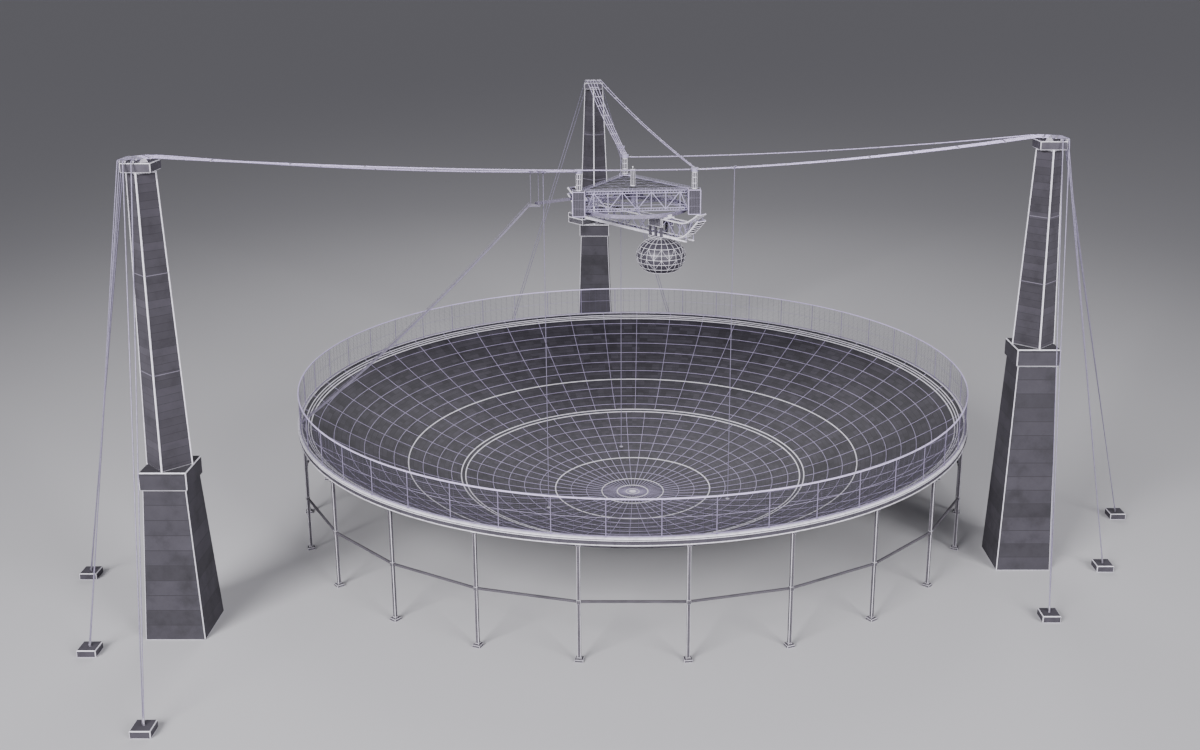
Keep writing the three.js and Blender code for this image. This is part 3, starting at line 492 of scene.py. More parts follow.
# Ground screen
# A fence of galvanised poles on the girder, strung with level wires between a bottom and a top
# rail, with lighter droppers between the poles.
galvanised = weathered(
    "galvanised pole", shaded(lavender, 0.6), roughness=0.42, metallic=0.55, grain=12, spread=0.25
)
wire = weathered(
    "screen wire", shaded(lavender, 0.22), roughness=0.5, metallic=0.4, grain=12, spread=0.2
)
rail_paint = weathered(
    "pale rail", shaded(lavender, 1.25), roughness=0.5, metallic=0.1, grain=12, spread=0.15
)
fence_low = rim_z + 0.02 * metre
fence_top = rim_z + 15 * metre
fence_middle = (fence_low + fence_top) / 2
wire_spacing = 0.75 * metre
wire_size = 0.06 * metre
middle_row = 10  # the row where the middle rail takes the place of a wire
rails = [
    hoop(middle, fence_low + 0.3 * metre, 0.32 * metre, 0.4 * metre),
    hoop(middle, fence_middle, 0.16 * metre, 0.16 * metre),
]
top_rail = hoop(middle, fence_top - 0.24 * metre, 0.46 * metre, 0.46 * metre)
fit(top_rail, "ground_screen_top_rail", "structure", "screen", rail_paint)
deselect()
bpy.ops.mesh.primitive_cylinder_add(
    vertices=10,
    radius=0.2 * metre,
    depth=fence_top - fence_low,
    location=(middle, 0, fence_middle),
)
pole = bpy.context.object
foot = 0.4 * metre
plate = block((middle - foot, -foot, fence_low), (middle + foot, foot, fence_low + 0.12 * metre))
poles = repeat(join([pole, plate]), around(48, 3.75))
fit(
    join([poles, *rails]),
    "ground_screen_poles_and_rails",
    "structure",
    "screen",
    galvanised,
    stands_for=["ground_screen_right", "ground_screen_left"],
)
wires = []
for i in range(1, 20):
    if i != middle_row:
        wires.append(hoop(middle, fence_low + i * wire_spacing, wire_size, wire_size, 0, 96))
deselect()
bpy.ops.mesh.primitive_cylinder_add(
    vertices=4, radius=0.05 * metre, depth=14.4 * metre, location=(middle, 0, fence_middle)
)
wires.append(repeat(bpy.context.object, around(288, 0.625)))
fit(join(wires), "ground_screen_wires", "structure", "screen", wire)

# Towers
# Three tapered four-sided shafts of cast concrete on battered piers, all with level tops. The
# cast was made in lifts, so it shows fine level joints, two of them under a narrow belt.
tower_top = rim_z + 131.6 * metre
cap_height = 3.5 * metre

# Each tower's place, the height of its shaft, the second corner that its cables go to, and by
# how many metres they end above or below the others there
towers = {
    "left": {
        "at": Vector((-174.4, -126.1, 0)) * metre,
        "height": 111 * metre,
        "other": "right",
        "rise": 0.0,
    },
    "right": {
        "at": Vector((165.6, -68.4, 0)) * metre,
        "height": 81 * metre,
        "other": "back",
        "rise": -0.5,
    },
    "back": {
        "at": Vector((-22.8, 192.3, 0)) * metre,
        "height": 81 * metre,
        "other": "right",
        "rise": 0.5,
    },
}


# Dark level joints at even heights, with a slight change of tint from one lift to the next
def lift_joints(material, spacing):
    tree = material.node_tree
    shader = tree.nodes["Principled BSDF"]
    place = next(n for n in tree.nodes if n.bl_idname == "ShaderNodeTexCoord").outputs["Object"]
    height = node(tree, "ShaderNodeSeparateXYZ", {"Vector": place}).outputs["Z"]
    lifts = node(tree, "ShaderNodeMath", {0: height, 1: 1 / spacing}, operation="MULTIPLY").outputs[0]
    phase = node(tree, "ShaderNodeMath", {0: lifts}, operation="FRACT").outputs[0]
    gap = node(
        tree, "ShaderNodeMath", {0: phase, 1: joint_share}, operation="LESS_THAN"
    ).outputs[0]
    level = node(tree, "ShaderNodeMath", {0: lifts}, operation="FLOOR").outputs[0]
    chance = node(
        tree, "ShaderNodeTexWhiteNoise", {"W": level}, noise_dimensions="1D"
    ).outputs["Value"]
    step = node(tree, "ShaderNodeMapRange", {"Value": chance, "To Min": 0.8, "To Max": 1.2})
    tint = shader.inputs["Base Color"].links[0].from_socket
    varied = node(
        tree, "ShaderNodeVectorMath", {0: tint, 3: step.outputs["Result"]}, operation="SCALE"
    )
    final = node(
        tree,
        "ShaderNodeMix",
        {0: gap, 6: varied.outputs["Vector"], 7: (0.03, 0.027, 0.035, 1)},
        data_type="RGBA",
    ).outputs[2]
    tree.links.new(final, shader.inputs["Base Color"])


tower_concrete = weathered(
    "tower concrete",
    (0.06, 0.054, 0.07),
    roughness=0.85,
    metallic=0,
    grain=2,
    spread=0.35,
    bump=0.3,
    pits=70,
)
lift_joints(tower_concrete, 3 * metre)
pier_concrete = weathered(
    "pier concrete",
    (0.045, 0.041, 0.053),
    roughness=0.9,
    metallic=0,
    grain=2,
    spread=0.4,
    bump=0.4,
    pits=60,
)
lift_joints(pier_concrete, 6 * metre)
pale_arris = weathered("pale arris", bone, roughness=0.7, metallic=0, grain=10, spread=0.15)
belt_paint = weathered(
    "belt paint", (0.2, 0.18, 0.24), roughness=0.7, metallic=0, grain=10, spread=0.2
)


# A four-sided shaft that narrows upwards, with pale arrises
def tapered(low_radius, high_radius, low, high, at, turn, surface, arris):
    deselect()
    bpy.ops.mesh.primitive_cone_add(
        vertices=4,
        radius1=low_radius,
        radius2=high_radius,
        depth=high - low,
        location=(at.x, at.y, (low + high) / 2),
        rotation=(0, 0, turn),
    )
    return arrissed(bpy.context.object, arris, surface, pale_arris)


# Copies of one short bar, each stretched between two points
def struts(pairs, width, depth=None, sides=4):
    deselect()
    turn = math.pi / 4 if sides == 4 else 0
    radius = 0.5 / math.cos(math.pi / sides) if sides == 4 else 0.5
    bpy.ops.mesh.primitive_cylinder_add(vertices=sides, radius=radius, depth=1, rotation=(0, 0, turn))
    piece = bpy.context.object
    bpy.ops.object.transform_apply(rotation=True)
    places = []
    for start, end in pairs:
        start, end = Vector(start), Vector(end)
        along = end - start
        turned = along.to_track_quat("Z", "Y").to_matrix().to_4x4()
        size = Matrix.Diagonal((width, depth or width, along.length, 1))
        places.append(Matrix.Translation((start + end) / 2) @ turned @ size)
    return repeat(piece, places)


shaft_top = tower_top - cap_height
shaft_end = shaft_top - 0.01 * metre
foot_radius = 8.73 * metre
head_radius = 5.42 * metre
shaft_arris = 0.45 * metre
angle_foot_radius = 8.5 * metre
angle_head_radius = 5.19 * metre
pier_foot_radius = 22.8 * metre / math.sqrt(2)
pier_head_radius = 16.2 * metre / math.sqrt(2)
ledge_drop = 7.2 * metre  # depth of the straight block under the shaft
side = 8.9 * metre  # half the width of that block
for name, tower in towers.items():
    at = tower["at"]
    shaft_foot = shaft_top - tower["height"]
    ledge = shaft_foot - ledge_drop
    batter = tapered(
        pier_foot_radius,
        pier_head_radius,
        0,
        ledge,
        at,
        math.pi / 4,
        pier_concrete,
        0.3 * metre,
    )
    base = block(
        (at.x - side, at.y - side, ledge),
        (at.x + side, at.y + side, shaft_foot - 0.01 * metre),
        pier_concrete,
        0.36 * metre,
        pale_arris,
    )
    fit(
        join([batter, base]),
        f"tower_pier_{name}",
        "structure",
        "foundation",
        stands_for=[f"tower_foundation_{name}"],
    )
    shaft = [
        tapered(
            foot_radius,
            head_radius,
            shaft_foot,
            shaft_end,
            at,
            0,
            tower_concrete,
            shaft_arris,
        )
    ]
    for k in range(4):
        quarter = Matrix.Rotation(math.tau * k / 4, 4, "Z")
        low = quarter @ Vector((angle_foot_radius, 0, shaft_foot))
        high = quarter @ Vector((angle_head_radius, 0, shaft_end))
        corner_angle = struts([(at + low, at + high)], 0.5 * metre)
        corner_angle.data.materials.append(pale_arris)
        shaft.append(corner_angle)
    for share in (1 / 3, 2 / 3):
        height = shaft_foot + tower["height"] * share
        radius = foot_radius + (head_radius - foot_radius) * share + 0.06 * metre
        bpy.ops.mesh.primitive_cylinder_add(
            vertices=4, radius=radius, depth=0.3 * metre, location=(at.x, at.y, height)
        )
        bpy.context.object.data.materials.append(belt_paint)
        shaft.append(bpy.context.object)
    fit(join(shaft), f"tower_{name}", "structure", "tower", stands_for=[f"tower_shaft_{name}"])

# Tower caps and saddles
# A square concrete cap, cast on each shaft. Six grooved steel saddles are bolted to it in a row,
# and the cables pass over them.
corner_angles = {"back": 96.85, "left": 216.85, "right": 336.85}
corner_radius = 29.9 * metre
cap_half = 5.425 * metre
lane_offsets = [(lane - 2.5) * 1.7 * metre for lane in range(6)]
cheek_offset = 0.5 * metre
groove_radius = 1.0 * metre
cheek_radius = 1.4 * metre
cap_material = weathered(
    "cap concrete",
    (0.08, 0.072, 0.095),
    roughness=0.8,
    metallic=0,
    grain=4,
    spread=0.3,
    bump=0.3,
    pits=90,
)
saddle_steel = weathered(
    "saddle steel", (0.55, 0.52, 0.6), roughness=0.4, metallic=0.8, grain=14, spread=0.25
)


def corner_at(name, height=0.0):
    angle = math.radians(corner_angles[name])
    return Vector((corner_radius * math.cos(angle), corner_radius * math.sin(angle), height))


for name, tower in towers.items():
    at = tower["at"]
    inward = (corner_at(name) - at).normalized()
    across = Vector((-inward.y, inward.x, 0))
    tower["inward"], tower["across"] = inward, across
    cap = block(
        (at.x - cap_half, at.y - cap_half, shaft_top),
        (at.x + cap_half, at.y + cap_half, tower_top),
        cap_material,
        0.3 * metre,
        pale_arris,
    )
    deselect()
    bpy.ops.mesh.primitive_cylinder_add(vertices=24, radius=groove_radius, depth=1.15 * metre)
    core = bpy.context.object
    core.rotation_euler = (math.pi / 2, 0, 0)
    bpy.ops.object.transform_apply(rotation=True)
    discs = [core]
    for shift in (-cheek_offset, cheek_offset):
        bpy.ops.mesh.primitive_cylinder_add(
            vertices=24,
            radius=cheek_radius,
            depth=0.16 * metre,
            location=(0, shift, 0),
            rotation=(math.pi / 2, 0, 0),
        )
        discs.append(bpy.context.object)
    saddle = join(discs)
    bpy.ops.object.mode_set(mode="EDIT")
    bpy.ops.mesh.select_all(action="SELECT")
    bpy.ops.mesh.bisect(plane_co=(0, 0, 0.001), plane_no=(0, 0, -1), clear_outer=True, use_fill=True)
    bpy.ops.object.mode_set(mode="OBJECT")
    saddle.data.transform(Matrix.Rotation(math.atan2(inward.y, inward.x), 4, "Z"))
    places = []
    for offset in lane_offsets:
        place = at + across * offset
        places.append(Matrix.Translation((place.x, place.y, tower_top)))
    saddles = repeat(saddle, places)
    fit(saddles, f"cable_saddles_{name}", "structure", "cable", saddle_steel)
    fit(cap, f"tower_cap_block_{name}", "structure", "tower", stands_for=[f"tower_cap_{name}"])

# Main cables
# Six spiral strands over each tower: four to the tower's own corner of the platform and two to
# a second corner. Steel sockets end them, and cross clamps keep each band of strands level.
hairline = 0.006 * metre  # left between two pieces that rest on each other
strand_radius = 0.2 * metre
strand_spacing = 0.7 * metre
socket_length = 1.5 * metre
socket_reach = 1.72 * metre  # from the axis of the drum to the end of a strand
cable_z = tower_top + 1.1 * metre * math.cos(math.pi / 8) + strand_radius + hairline
cable_sag = 2 * metre
clamp_place = 2.4 * metre  # from the middle of a cap to the clamp on its strands
post_top = rim_z + 110.2 * metre
drum_height = 1.6 * metre
strand_steel = weathered(
    "galvanised strand",
    (0.62, 0.54, 0.82),
    roughness=0.4,
    metallic=0.45,
    grain=20,
    spread=0.2,
    bump=0.2,
    pits=140,
)
socket_steel = weathered(
    "socket steel", (0.5, 0.47, 0.56), roughness=0.4, metallic=0.8, grain=14, spread=0.25
)


def lane_at(tower, lane, distance):
    place = tower["at"] + tower["inward"] * distance + tower["across"] * lane_offsets[lane]
    return Vector((place.x, place.y, cable_z))


# The place just past the edge of a cap on one lane's way in (side 1) or out (side -1)
def cap_edge(tower, lane, side):
    clear = cap_half + 0.4 * metre
    reach = []
    for axis in (0, 1):
        direction = tower["inward"][axis] * side
        shift = tower["across"][axis] * lane_offsets[lane]
        reach.append((clear - math.copysign(1, direction) * shift) / abs(direction))
    return lane_at(tower, lane, side * min(reach))


# Points of a line that sags between its two ends
def hanging(start, end, sag, count):
    points = []
    for i in range(count + 1):
        share = i / count
        point = start.lerp(end, share)
        point.z -= 4 * sag * share * (1 - share)
        points.append(point)
    return points


def strand(points, radius):
    curve = bpy.data.curves.new("strand", "CURVE")
    curve.dimensions = "3D"
    curve.bevel_depth = radius
    curve.bevel_resolution = 2
    curve.use_fill_caps = True
    line = curve.splines.new("POLY")
    line.points.add(len(points) - 1)
    for spot, point in zip(line.points, points):
        spot.co = (*point, 1)
    made = bpy.data.objects.new("strand", curve)
    bpy.context.collection.objects.link(made)
    deselect()
    made.select_set(True)
    bpy.context.view_layer.objects.active = made
    bpy.ops.object.convert(target="MESH")
    bpy.ops.object.shade_smooth_by_angle(angle=math.radians(50))
    return bpy.context.object


for name, tower in towers.items():
    for corner in (name, tower["other"]):
        own = corner == name
        rise = 0 if own else tower["rise"] * metre
        head = corner_at(corner, post_top + drum_height / 2 + rise)
        run = Vector((head.x - tower["at"].x, head.y - tower["at"].y, 0)).normalized()
        sideways = Vector((-run.y, run.x, 0))
        towards = (corner_at(tower["other"]) - tower["at"]).dot(tower["across"])
        split = ([0, 1], [2, 3, 4, 5]) if towards < 0 else ([4, 5], [0, 1, 2, 3])
        lanes = split[1 if own else 0]
        strands, sockets, lines = [], [], []
        for i, lane in enumerate(lanes):
            shift = (i - (len(lanes) - 1) / 2) * strand_spacing
            end = head + sideways * shift
            edge = cap_edge(tower, lane, 1)
            points = hanging(edge, end, cable_sag, 24)
            back = math.sqrt(socket_reach**2 - shift**2)
            last = points[-1] + (points[-2] - points[-1]).normalized() * back
            points = [lane_at(tower, lane, hairline)] + points[:-1] + [last]
            strands.append(strand(points, strand_radius))
            lines.append(points)
            toward = (points[-2] - last).normalized()
            sockets.append((last, last + toward * socket_length))
        clamps = []
        for k in range(3, 25, 3):
            first, final = lines[0][k], lines[-1][k]
            reach = (final - first).normalized() * 0.35 * metre
            clamps.append((first - reach, final + reach))
        yoke = tower["across"] * 0.4 * metre
        first = lane_at(tower, lanes[0], clamp_place)
        final = lane_at(tower, lanes[-1], clamp_place)
        clamps.append((first - yoke, final + yoke))
        role = "main" if own else "cross"
        fit(
            join(strands),
            f"{role}_strands_{name}",
            "structure",
            "cable",
            strand_steel,
            stands_for=[f"{role}_cables_{name}"],
        )
        fittings = [struts(sockets, 0.56 * metre, sides=10), struts(clamps, 0.5 * metre)]
        fit(join(fittings), f"{role}_cable_fittings_{name}", "structure", "cable", socket_steel)

# Backstays and anchors
# Paired steel strands turn down over rollers at the far edge of each cap and run to three cast
# concrete blocks, each with a raised plinth and a plate that the sockets are pinned to.
dull_strand = weathered(
    "dull strand",
    (0.3, 0.27, 0.39),
    roughness=0.5,
    metallic=0.4,
    grain=20,
    spread=0.25,
    bump=0.2,
    pits=140,
)
block_concrete = weathered(
    "anchor concrete",
    (0.06, 0.054, 0.07),
    roughness=0.9,
    metallic=0,
    grain=4,
    spread=0.4,
    bump=0.4,
    pits=80,
)

# How far behind and beside its tower each anchor block lies, in metres
anchor_feet = {
    "left": [(19.5, 64.7), (35.4, 0), (33.6, -64.5)],
    "right": [(18, 49.5), (35.5, -4.1), (38.6, -62.7)],
    "back": [(13, 57.7), (34.5, 0), (30.8, -59)],
}
anchor_half = 3.6 * metre
plinth_top = 2.9 * metre
aim_z = 1.9 * metre  # height that the strands aim for inside the block
pair_spacing = 1.2 * metre
bend_length = 0.9 * metre
roller_size = 0.7 * metre
ground_socket_length = 2.4 * metre


# Points that round a corner off over one length on each side of it
def rounded(before, corner, after, length):
    start = corner + (before - corner).normalized() * length
    final = corner + (after - corner).normalized() * length
    points = []
    for i in range(7):
        share = i / 6
        level = start.lerp(corner, share)
        points.append(level.lerp(corner.lerp(final, share), share))
    return points


for name, tower in towers.items():
    for k, (out, sideways) in enumerate(anchor_feet[name]):
        at = tower["at"] - tower["inward"] * (out * metre) + tower["across"] * (sideways * metre)
        anchor = block(
            (at.x - anchor_half, at.y - anchor_half, 0),
            (at.x + anchor_half, at.y + anchor_half, plinth_top),
            block_concrete,
            0.3 * metre,
            pale_arris,
        )
        fit(
            anchor,
            f"anchor_block_{name}_{k + 1}",
            "structure",
            "foundation",
            stands_for=[f"anchor_{name}_{k + 1}"],
        )
        strands, sockets, edges, rollers, pedestals = [], [], [], [], []
        for i, lane in enumerate(([4, 5], [2, 3], [0, 1])[k]):
            end = at + tower["across"] * ((i - 0.5) * pair_spacing)
            end.z = aim_z
            edge = cap_edge(tower, lane, -1)
            along = (end - edge).normalized()
            reach = (plinth_top + 0.02 * metre - edge.z) / along.z
            end = edge + along * reach
            start = lane_at(tower, lane, -hairline)
            bend = rounded(start, edge, end, bend_length)
            strands.append(strand([start, *bend, end], strand_radius))
            roller = edge + tower["inward"] * (0.55 * metre) - Vector((0, 0, 0.6 * metre))
            axle = tower["across"] * 0.4 * metre
            rollers.append((roller - axle, roller + axle))
            pedestals.append((roller, (roller.x, roller.y, tower_top)))
            sockets.append((end, end - along * ground_socket_length))
            edges.append(lane_at(tower, lane, -clamp_place))
        yoke = tower["across"] * 0.4 * metre
        fit(
            join(strands),
            f"backstay_strands_{name}_{k + 1}",
            "structure",
            "cable",
            dull_strand,
            stands_for=[f"backstay_{name}_{k + 1}"],
        )
        low_end = sockets[0][0], sockets[1][0]
        plate_reach = tower["across"] * 0.8 * metre
        centre = (low_end[0] + low_end[1]) / 2 + Vector((0, 0, 0.15 * metre))
        fittings = [
            struts(sockets, 0.6 * metre, sides=10),
            struts([(edges[0] - yoke, edges[1] + yoke)], 0.5 * metre),
            struts([(centre - plate_reach, centre + plate_reach)], 0.7 * metre),
            struts(rollers, roller_size, sides=16),
            struts(pedestals, 0.36 * metre),
        ]
        fit(join(fittings), f"backstay_fittings_{name}_{k + 1}", "structure", "cable", socket_steel)

# Platform
# A triangle of welded side trusses under a deck of grating. Each chord is a ladder of two bars,
# and the webs are a finer zig-zag between the main diagonals.
white_steel = weathered(
    "white painted steel", bone, roughness=0.45, metallic=0.1, grain=14, spread=0.22
)
grating = weathered(
    "deck grating",
    (0.04, 0.037, 0.048),
    roughness=0.75,
    metallic=0,
    grain=30,
    spread=0.35,
    bump=0.5,
    pits=200,
)
lavender_steel = weathered(
    "lavender painted steel",
    (0.4, 0.36, 0.54),
    roughness=0.45,
    metallic=0.1,
    grain=14,
    spread=0.22,
)
truss_top = rim_z + 101.3 * metre
truss_low = rim_z + 93.4 * metre
middle_z = (truss_low + truss_top) / 2
deck_top_z = truss_top + 0.35 * metre
corner_inset = 3.2 * metre  # where the bars of a side end, short of the corner
ladder_half = 0.55 * metre  # half the height of a chord's ladder
bays = 8
rung_steps = 36
rail_steps = 24
spoke_reach = 25.2 * metre  # the spokes run from the king post past the sides, over the track
spoke_half = 0.3 * metre
spoke_steps = 18
names = ["back", "left", "right"]
corners = [corner_at(name) for name in names]
chords, rungs, webs, fine_webs, handrail = [], [], [], [], []
for i in range(3):
    start, end = corners[i], corners[(i + 1) % 3]
    run = (end - start).normalized()
    span = (end - start).length
    near, far = corner_inset, span - corner_inset

    def beside(distance, height):
        point = start + run * distance
        return Vector((point.x, point.y, height))

    for centre in (truss_top, truss_low):
        for offset in (-ladder_half, ladder_half):
            chords.append((beside(near, centre + offset), beside(far, centre + offset)))
        for k in range(rung_steps + 1):
            distance = near + (far - near) * k / rung_steps
            low, high = centre - ladder_half, centre + ladder_half
            rungs.append((beside(distance, low), beside(distance, high)))
    for k in range(bays):
        low = span * (k + k % 2) / bays
        high = span * (k + 1 - k % 2) / bays
        low, high = (min(max(x, near), far) for x in (low, high))
        webs.append((beside(low, truss_low), beside(high, truss_top)))
    for k in range(1, bays):
        webs.append((beside(span * k / bays, truss_low), beside(span * k / bays, truss_top)))
    for k in range(bays):
        low, high = span * k / bays, span * (k + 1) / bays
        if k % 2:
            low, high = high, low
        for share in (0.25, 0.75):
            x = low + (high - low) * share
            z = truss_low + (truss_top - truss_low) * share
            side_x = low if share > 0.5 else high
            side_x = min(max(side_x, near), far)
            fine_webs.append((beside(min(max(x, near), far), z), beside(side_x, z)))
    for height in (0.55 * metre, 1.1 * metre):
        rail_z = deck_top_z + 0.2 * metre
        handrail.append((beside(near, rail_z + height), beside(far, rail_z + height)))
    for k in range(rail_steps + 1):
        distance = near + (far - near) * k / rail_steps
        handrail.append((beside(distance, deck_top_z), beside(distance, deck_top_z + 1.3 * metre)))
    facing = math.radians(corner_angles[names[i]] + 60)
    tip = Vector((math.cos(facing), math.sin(facing), 0)) * spoke_reach
    for offset in (-spoke_half, spoke_half):
        height = truss_low + offset
        chords.append(((0, 0, height), (tip.x, tip.y, height)))
    for k in range(1, spoke_steps):
        x, y = tip.x * k / spoke_steps, tip.y * k / spoke_steps
        rungs.append(((x, y, truss_low - spoke_half), (x, y, truss_low + spoke_half)))
    webs.append(((0, 0, truss_top - 0.4 * metre), (tip.x * 0.97, tip.y * 0.97, truss_low)))

# Bars across the triangle, level with the top chords and parallel to the three sides
for k in range(1, 4):
    for i in range(3):
        a, b, c = corners[i], corners[(i + 1) % 3], corners[(i + 2) % 3]
        first = a.lerp(b, k / 4)
        last = a.lerp(c, k / 4)
        height = truss_top - 0.25 * metre
        webs.append(((first.x, first.y, height), (last.x, last.y, height)))
deselect()
bpy.ops.mesh.primitive_cylinder_add(
    vertices=16,
    radius=1.1 * metre,
    depth=truss_top - truss_low,
    location=(0, 0, middle_z),
)
king_post = bpy.context.object
bars = [
    struts(chords, 0.36 * metre),
    struts(rungs, 0.2 * metre),
    struts(webs, 0.34 * metre),
    struts(fine_webs, 0.16 * metre),
    king_post,
]
fit(
    join(bars),
    "platform_bars",
    "structure",
    "truss",
    lavender_steel,
    stands_for=["platform_truss"],
)
fit(struts(handrail, 0.1 * metre), "platform_handrails", "structure", "truss", lavender_steel)
deselect()
deck_thickness = 0.3 * metre
bpy.ops.mesh.primitive_circle_add(vertices=3, radius=corner_radius, fill_type="NGON")
deck = bpy.context.object
deck.rotation_euler = (0, 0, math.radians(6.85))
deck.location = (0, 0, deck_top_z - deck_thickness)
bpy.ops.object.transform_apply(location=True, rotation=True, scale=True)
bpy.ops.object.mode_set(mode="EDIT")
bpy.ops.mesh.select_all(action="SELECT")
bpy.ops.mesh.inset(thickness=0.5 * metre, depth=0)
bpy.ops.mesh.select_all(action="SELECT")
bpy.ops.mesh.extrude_region_move(TRANSFORM_OT_translate={"value": (0, 0, deck_thickness)})
bpy.ops.mesh.select_all(action="SELECT")
bpy.ops.mesh.normals_make_consistent(inside=False)
bpy.ops.object.mode_set(mode="OBJECT")
fit(deck, "platform_deck", "structure", "truss", grating)
bearers = []
for k in range(1, 6):
    for i in range(3):
        a, b, c = corners[i], corners[(i + 1) % 3], corners[(i + 2) % 3]
        first, last = a.lerp(b, k / 6), a.lerp(c, k / 6)
        bearers.append(((first.x, first.y, deck_top_z), (last.x, last.y, deck_top_z)))
fit(struts(bearers, 0.1 * metre), "deck_bearers", "structure", "truss", lavender_steel)

# Corner houses and posts
# A tall sheet-clad frame stands on each corner, with pale corner angles and belts; on its roof a
# ribbed post ends in the drum that the strands are socketed to.
# Dark grey sheet for the house walls and the feed carriage; the same dark is also painted shade on the
# cores of the cable posts and the mast, between their pale flutes.
cladding_and_painted_shade = weathered(
    "grey cladding",
    (0.06, 0.055, 0.072),
    roughness=0.55,
    metallic=0.2,
    grain=8,
    spread=0.3,
    bump=0.2,
    pits=90,
)
angle_paint = weathered(
    "lavender corner angles",
    shaded(lavender, 1.2),
    roughness=0.45,
    metallic=0.1,
    grain=14,
    spread=0.15,
)
rib_paint = weathered(
    "dull cladding ribs", (0.2, 0.18, 0.25), roughness=0.5, metallic=0.1, grain=14, spread=0.2
)
house_low = rim_z + 91.1 * metre
house_top = rim_z + 102.3 * metre
inner = 2.66 * metre  # half the width of the walls
rim = 2.67 * metre  # half the width between the middles of the corner angles
belt_line = [(-rim, -rim), (rim, -rim), (rim, rim), (-rim, rim), (-rim, -rim)]
rib_spacing = 0.72 * metre
post_radius = 1.1 * metre


# The twelve edges of a box
def box_edges(low, high):
    (x0, y0, z0), (x1, y1, z1) = low, high
    edges = []
    for a, b in ((0, 0), (0, 1), (1, 0), (1, 1)):
        x, y, z = (x0, x1), (y0, y1), (z0, z1)
        edges.append(((x[0], y[a], z[b]), (x[1], y[a], z[b])))
        edges.append(((x[a], y[0], z[b]), (x[a], y[1], z[b])))
        edges.append(((x[a], y[b], z[0]), (x[a], y[b], z[1])))
    return edges


for name in names:
    at = corner_at(name)
    wall_foot = (at.x - inner, at.y - inner, house_low + 0.12 * metre)
    walls = block(wall_foot, (at.x + inner, at.y + inner, house_top - 0.1 * metre))
    own_node = f"corner_house_{name}"
    fit(walls, f"corner_house_walls_{name}", "structure", "house", cladding_and_painted_shade, stands_for=[own_node])
    low = (at.x - rim, at.y - rim, house_low + 0.13 * metre)
    high = (at.x + rim, at.y + rim, house_top - 0.13 * metre)
    angles = box_edges(low, high)
    for share in (0.33, 0.67):
        height = house_low + (house_top - house_low) * share
        for (x0, y0), (x1, y1) in zip(belt_line, belt_line[1:]):
            angles.append(((at.x + x0, at.y + y0, height), (at.x + x1, at.y + y1, height)))
    frame_bars = [struts(angles[:12], 0.26 * metre), struts(angles[12:], 0.14 * metre)]
    frame_bars[0].data.materials.append(angle_paint)
    frame_bars[1].data.materials.append(rib_paint)
    ribs = []
    for k in range(-3, 4):
        shift = k * rib_spacing
        for x, y in ((shift, -rim), (shift, rim), (-rim, shift), (rim, shift)):
            ribs.append(((at.x + x, at.y + y, low[2]), (at.x + x, at.y + y, high[2])))
    frame_bars.append(struts(ribs, 0.1 * metre))
    frame_bars[2].data.materials.append(rib_paint)
    fit(join(frame_bars), f"corner_house_angles_{name}", "structure", "truss")
    deselect()
    bpy.ops.mesh.primitive_cylinder_add(
        vertices=24,
        radius=post_radius,
        depth=8 * metre,
        location=(at.x, at.y, house_top + 3.9 * metre),
    )
    core = bpy.context.object
    # The post's dark core is painted shade: it stands for the shadow between the pale flutes.
    core.data.materials.append(cladding_and_painted_shade)
    flutes = []
    for k in range(8):
        angle = math.tau * (k + 0.5) / 8
        x = at.x + (post_radius + 0.01 * metre) * math.cos(angle)
        y = at.y + (post_radius + 0.01 * metre) * math.sin(angle)
        flutes.append(((x, y, house_top), (x, y, post_top)))
    flutes = struts(flutes, 0.26 * metre, sides=6)
    flutes.data.materials.append(white_steel)
    post = [core, flutes]

    # Height, radius, depth and paint of the foot ring, two collars, head ring and drum
    for height, radius, depth, paint in (
        (house_top + 0.3 * metre, 1.25, 0.4, white_steel),
        (house_top + 2.7 * metre, 1.25, 0.24, white_steel),
        (house_top + 5.3 * metre, 1.25, 0.24, white_steel),
        (post_top - 0.3 * metre, 1.25, 0.4, white_steel),
        (post_top + 0.8 * metre, 1.68, 1.56, lavender_steel),
    ):
        bpy.ops.mesh.primitive_cylinder_add(
            vertices=32, radius=radius * metre, depth=depth * metre, location=(at.x, at.y, height)
        )
        post.append(arrissed(bpy.context.object, 0.04 * metre, paint))
    fit(join(post), f"cable_post_{name}", "structure", "house")

# Centre mast
# A steel mast, bolted down by its foot ring on the middle of the deck and ribbed from end to
# end, with a small glass obstruction light on a stalk on its top.
mast_foot = deck_top_z
mast_top = rim_z + 109.4 * metre
mast_radius = 1.0 * metre
deselect()
bpy.ops.mesh.primitive_cylinder_add(
    vertices=24,
    radius=mast_radius,
    depth=mast_top - mast_foot,
    location=(0, 0, (mast_foot + mast_top) / 2),
)
core = bpy.context.object
# The mast's dark core is painted shade: it stands for the shadow between the pale flutes.
core.data.materials.append(cladding_and_painted_shade)
flutes = []
for k in range(8):
    angle = math.tau * (k + 0.5) / 8
    x = (mast_radius + 0.02 * metre) * math.cos(angle)
    y = (mast_radius + 0.02 * metre) * math.sin(angle)
    flutes.append(((x, y, mast_foot), (x, y, mast_top)))
flutes = struts(flutes, 0.24 * metre, sides=6)
flutes.data.materials.append(white_steel)
mast = [core, flutes]
for height, depth in ((mast_foot + 0.25 * metre, 0.5), (mast_top - 0.2 * metre, 0.4)):
    bpy.ops.mesh.primitive_cylinder_add(
        vertices=32, radius=mast_radius + 0.15 * metre, depth=depth * metre, location=(0, 0, height)
    )
    mast.append(arrissed(bpy.context.object, 0.04 * metre, white_steel))
fit(join(mast), "centre_mast", "structure", "house")
light_glass = weathered(
    "light glass", (0.85, 0.84, 0.9), roughness=0.2, metallic=0, grain=10, spread=0.1, bump=0.05
)
deselect()
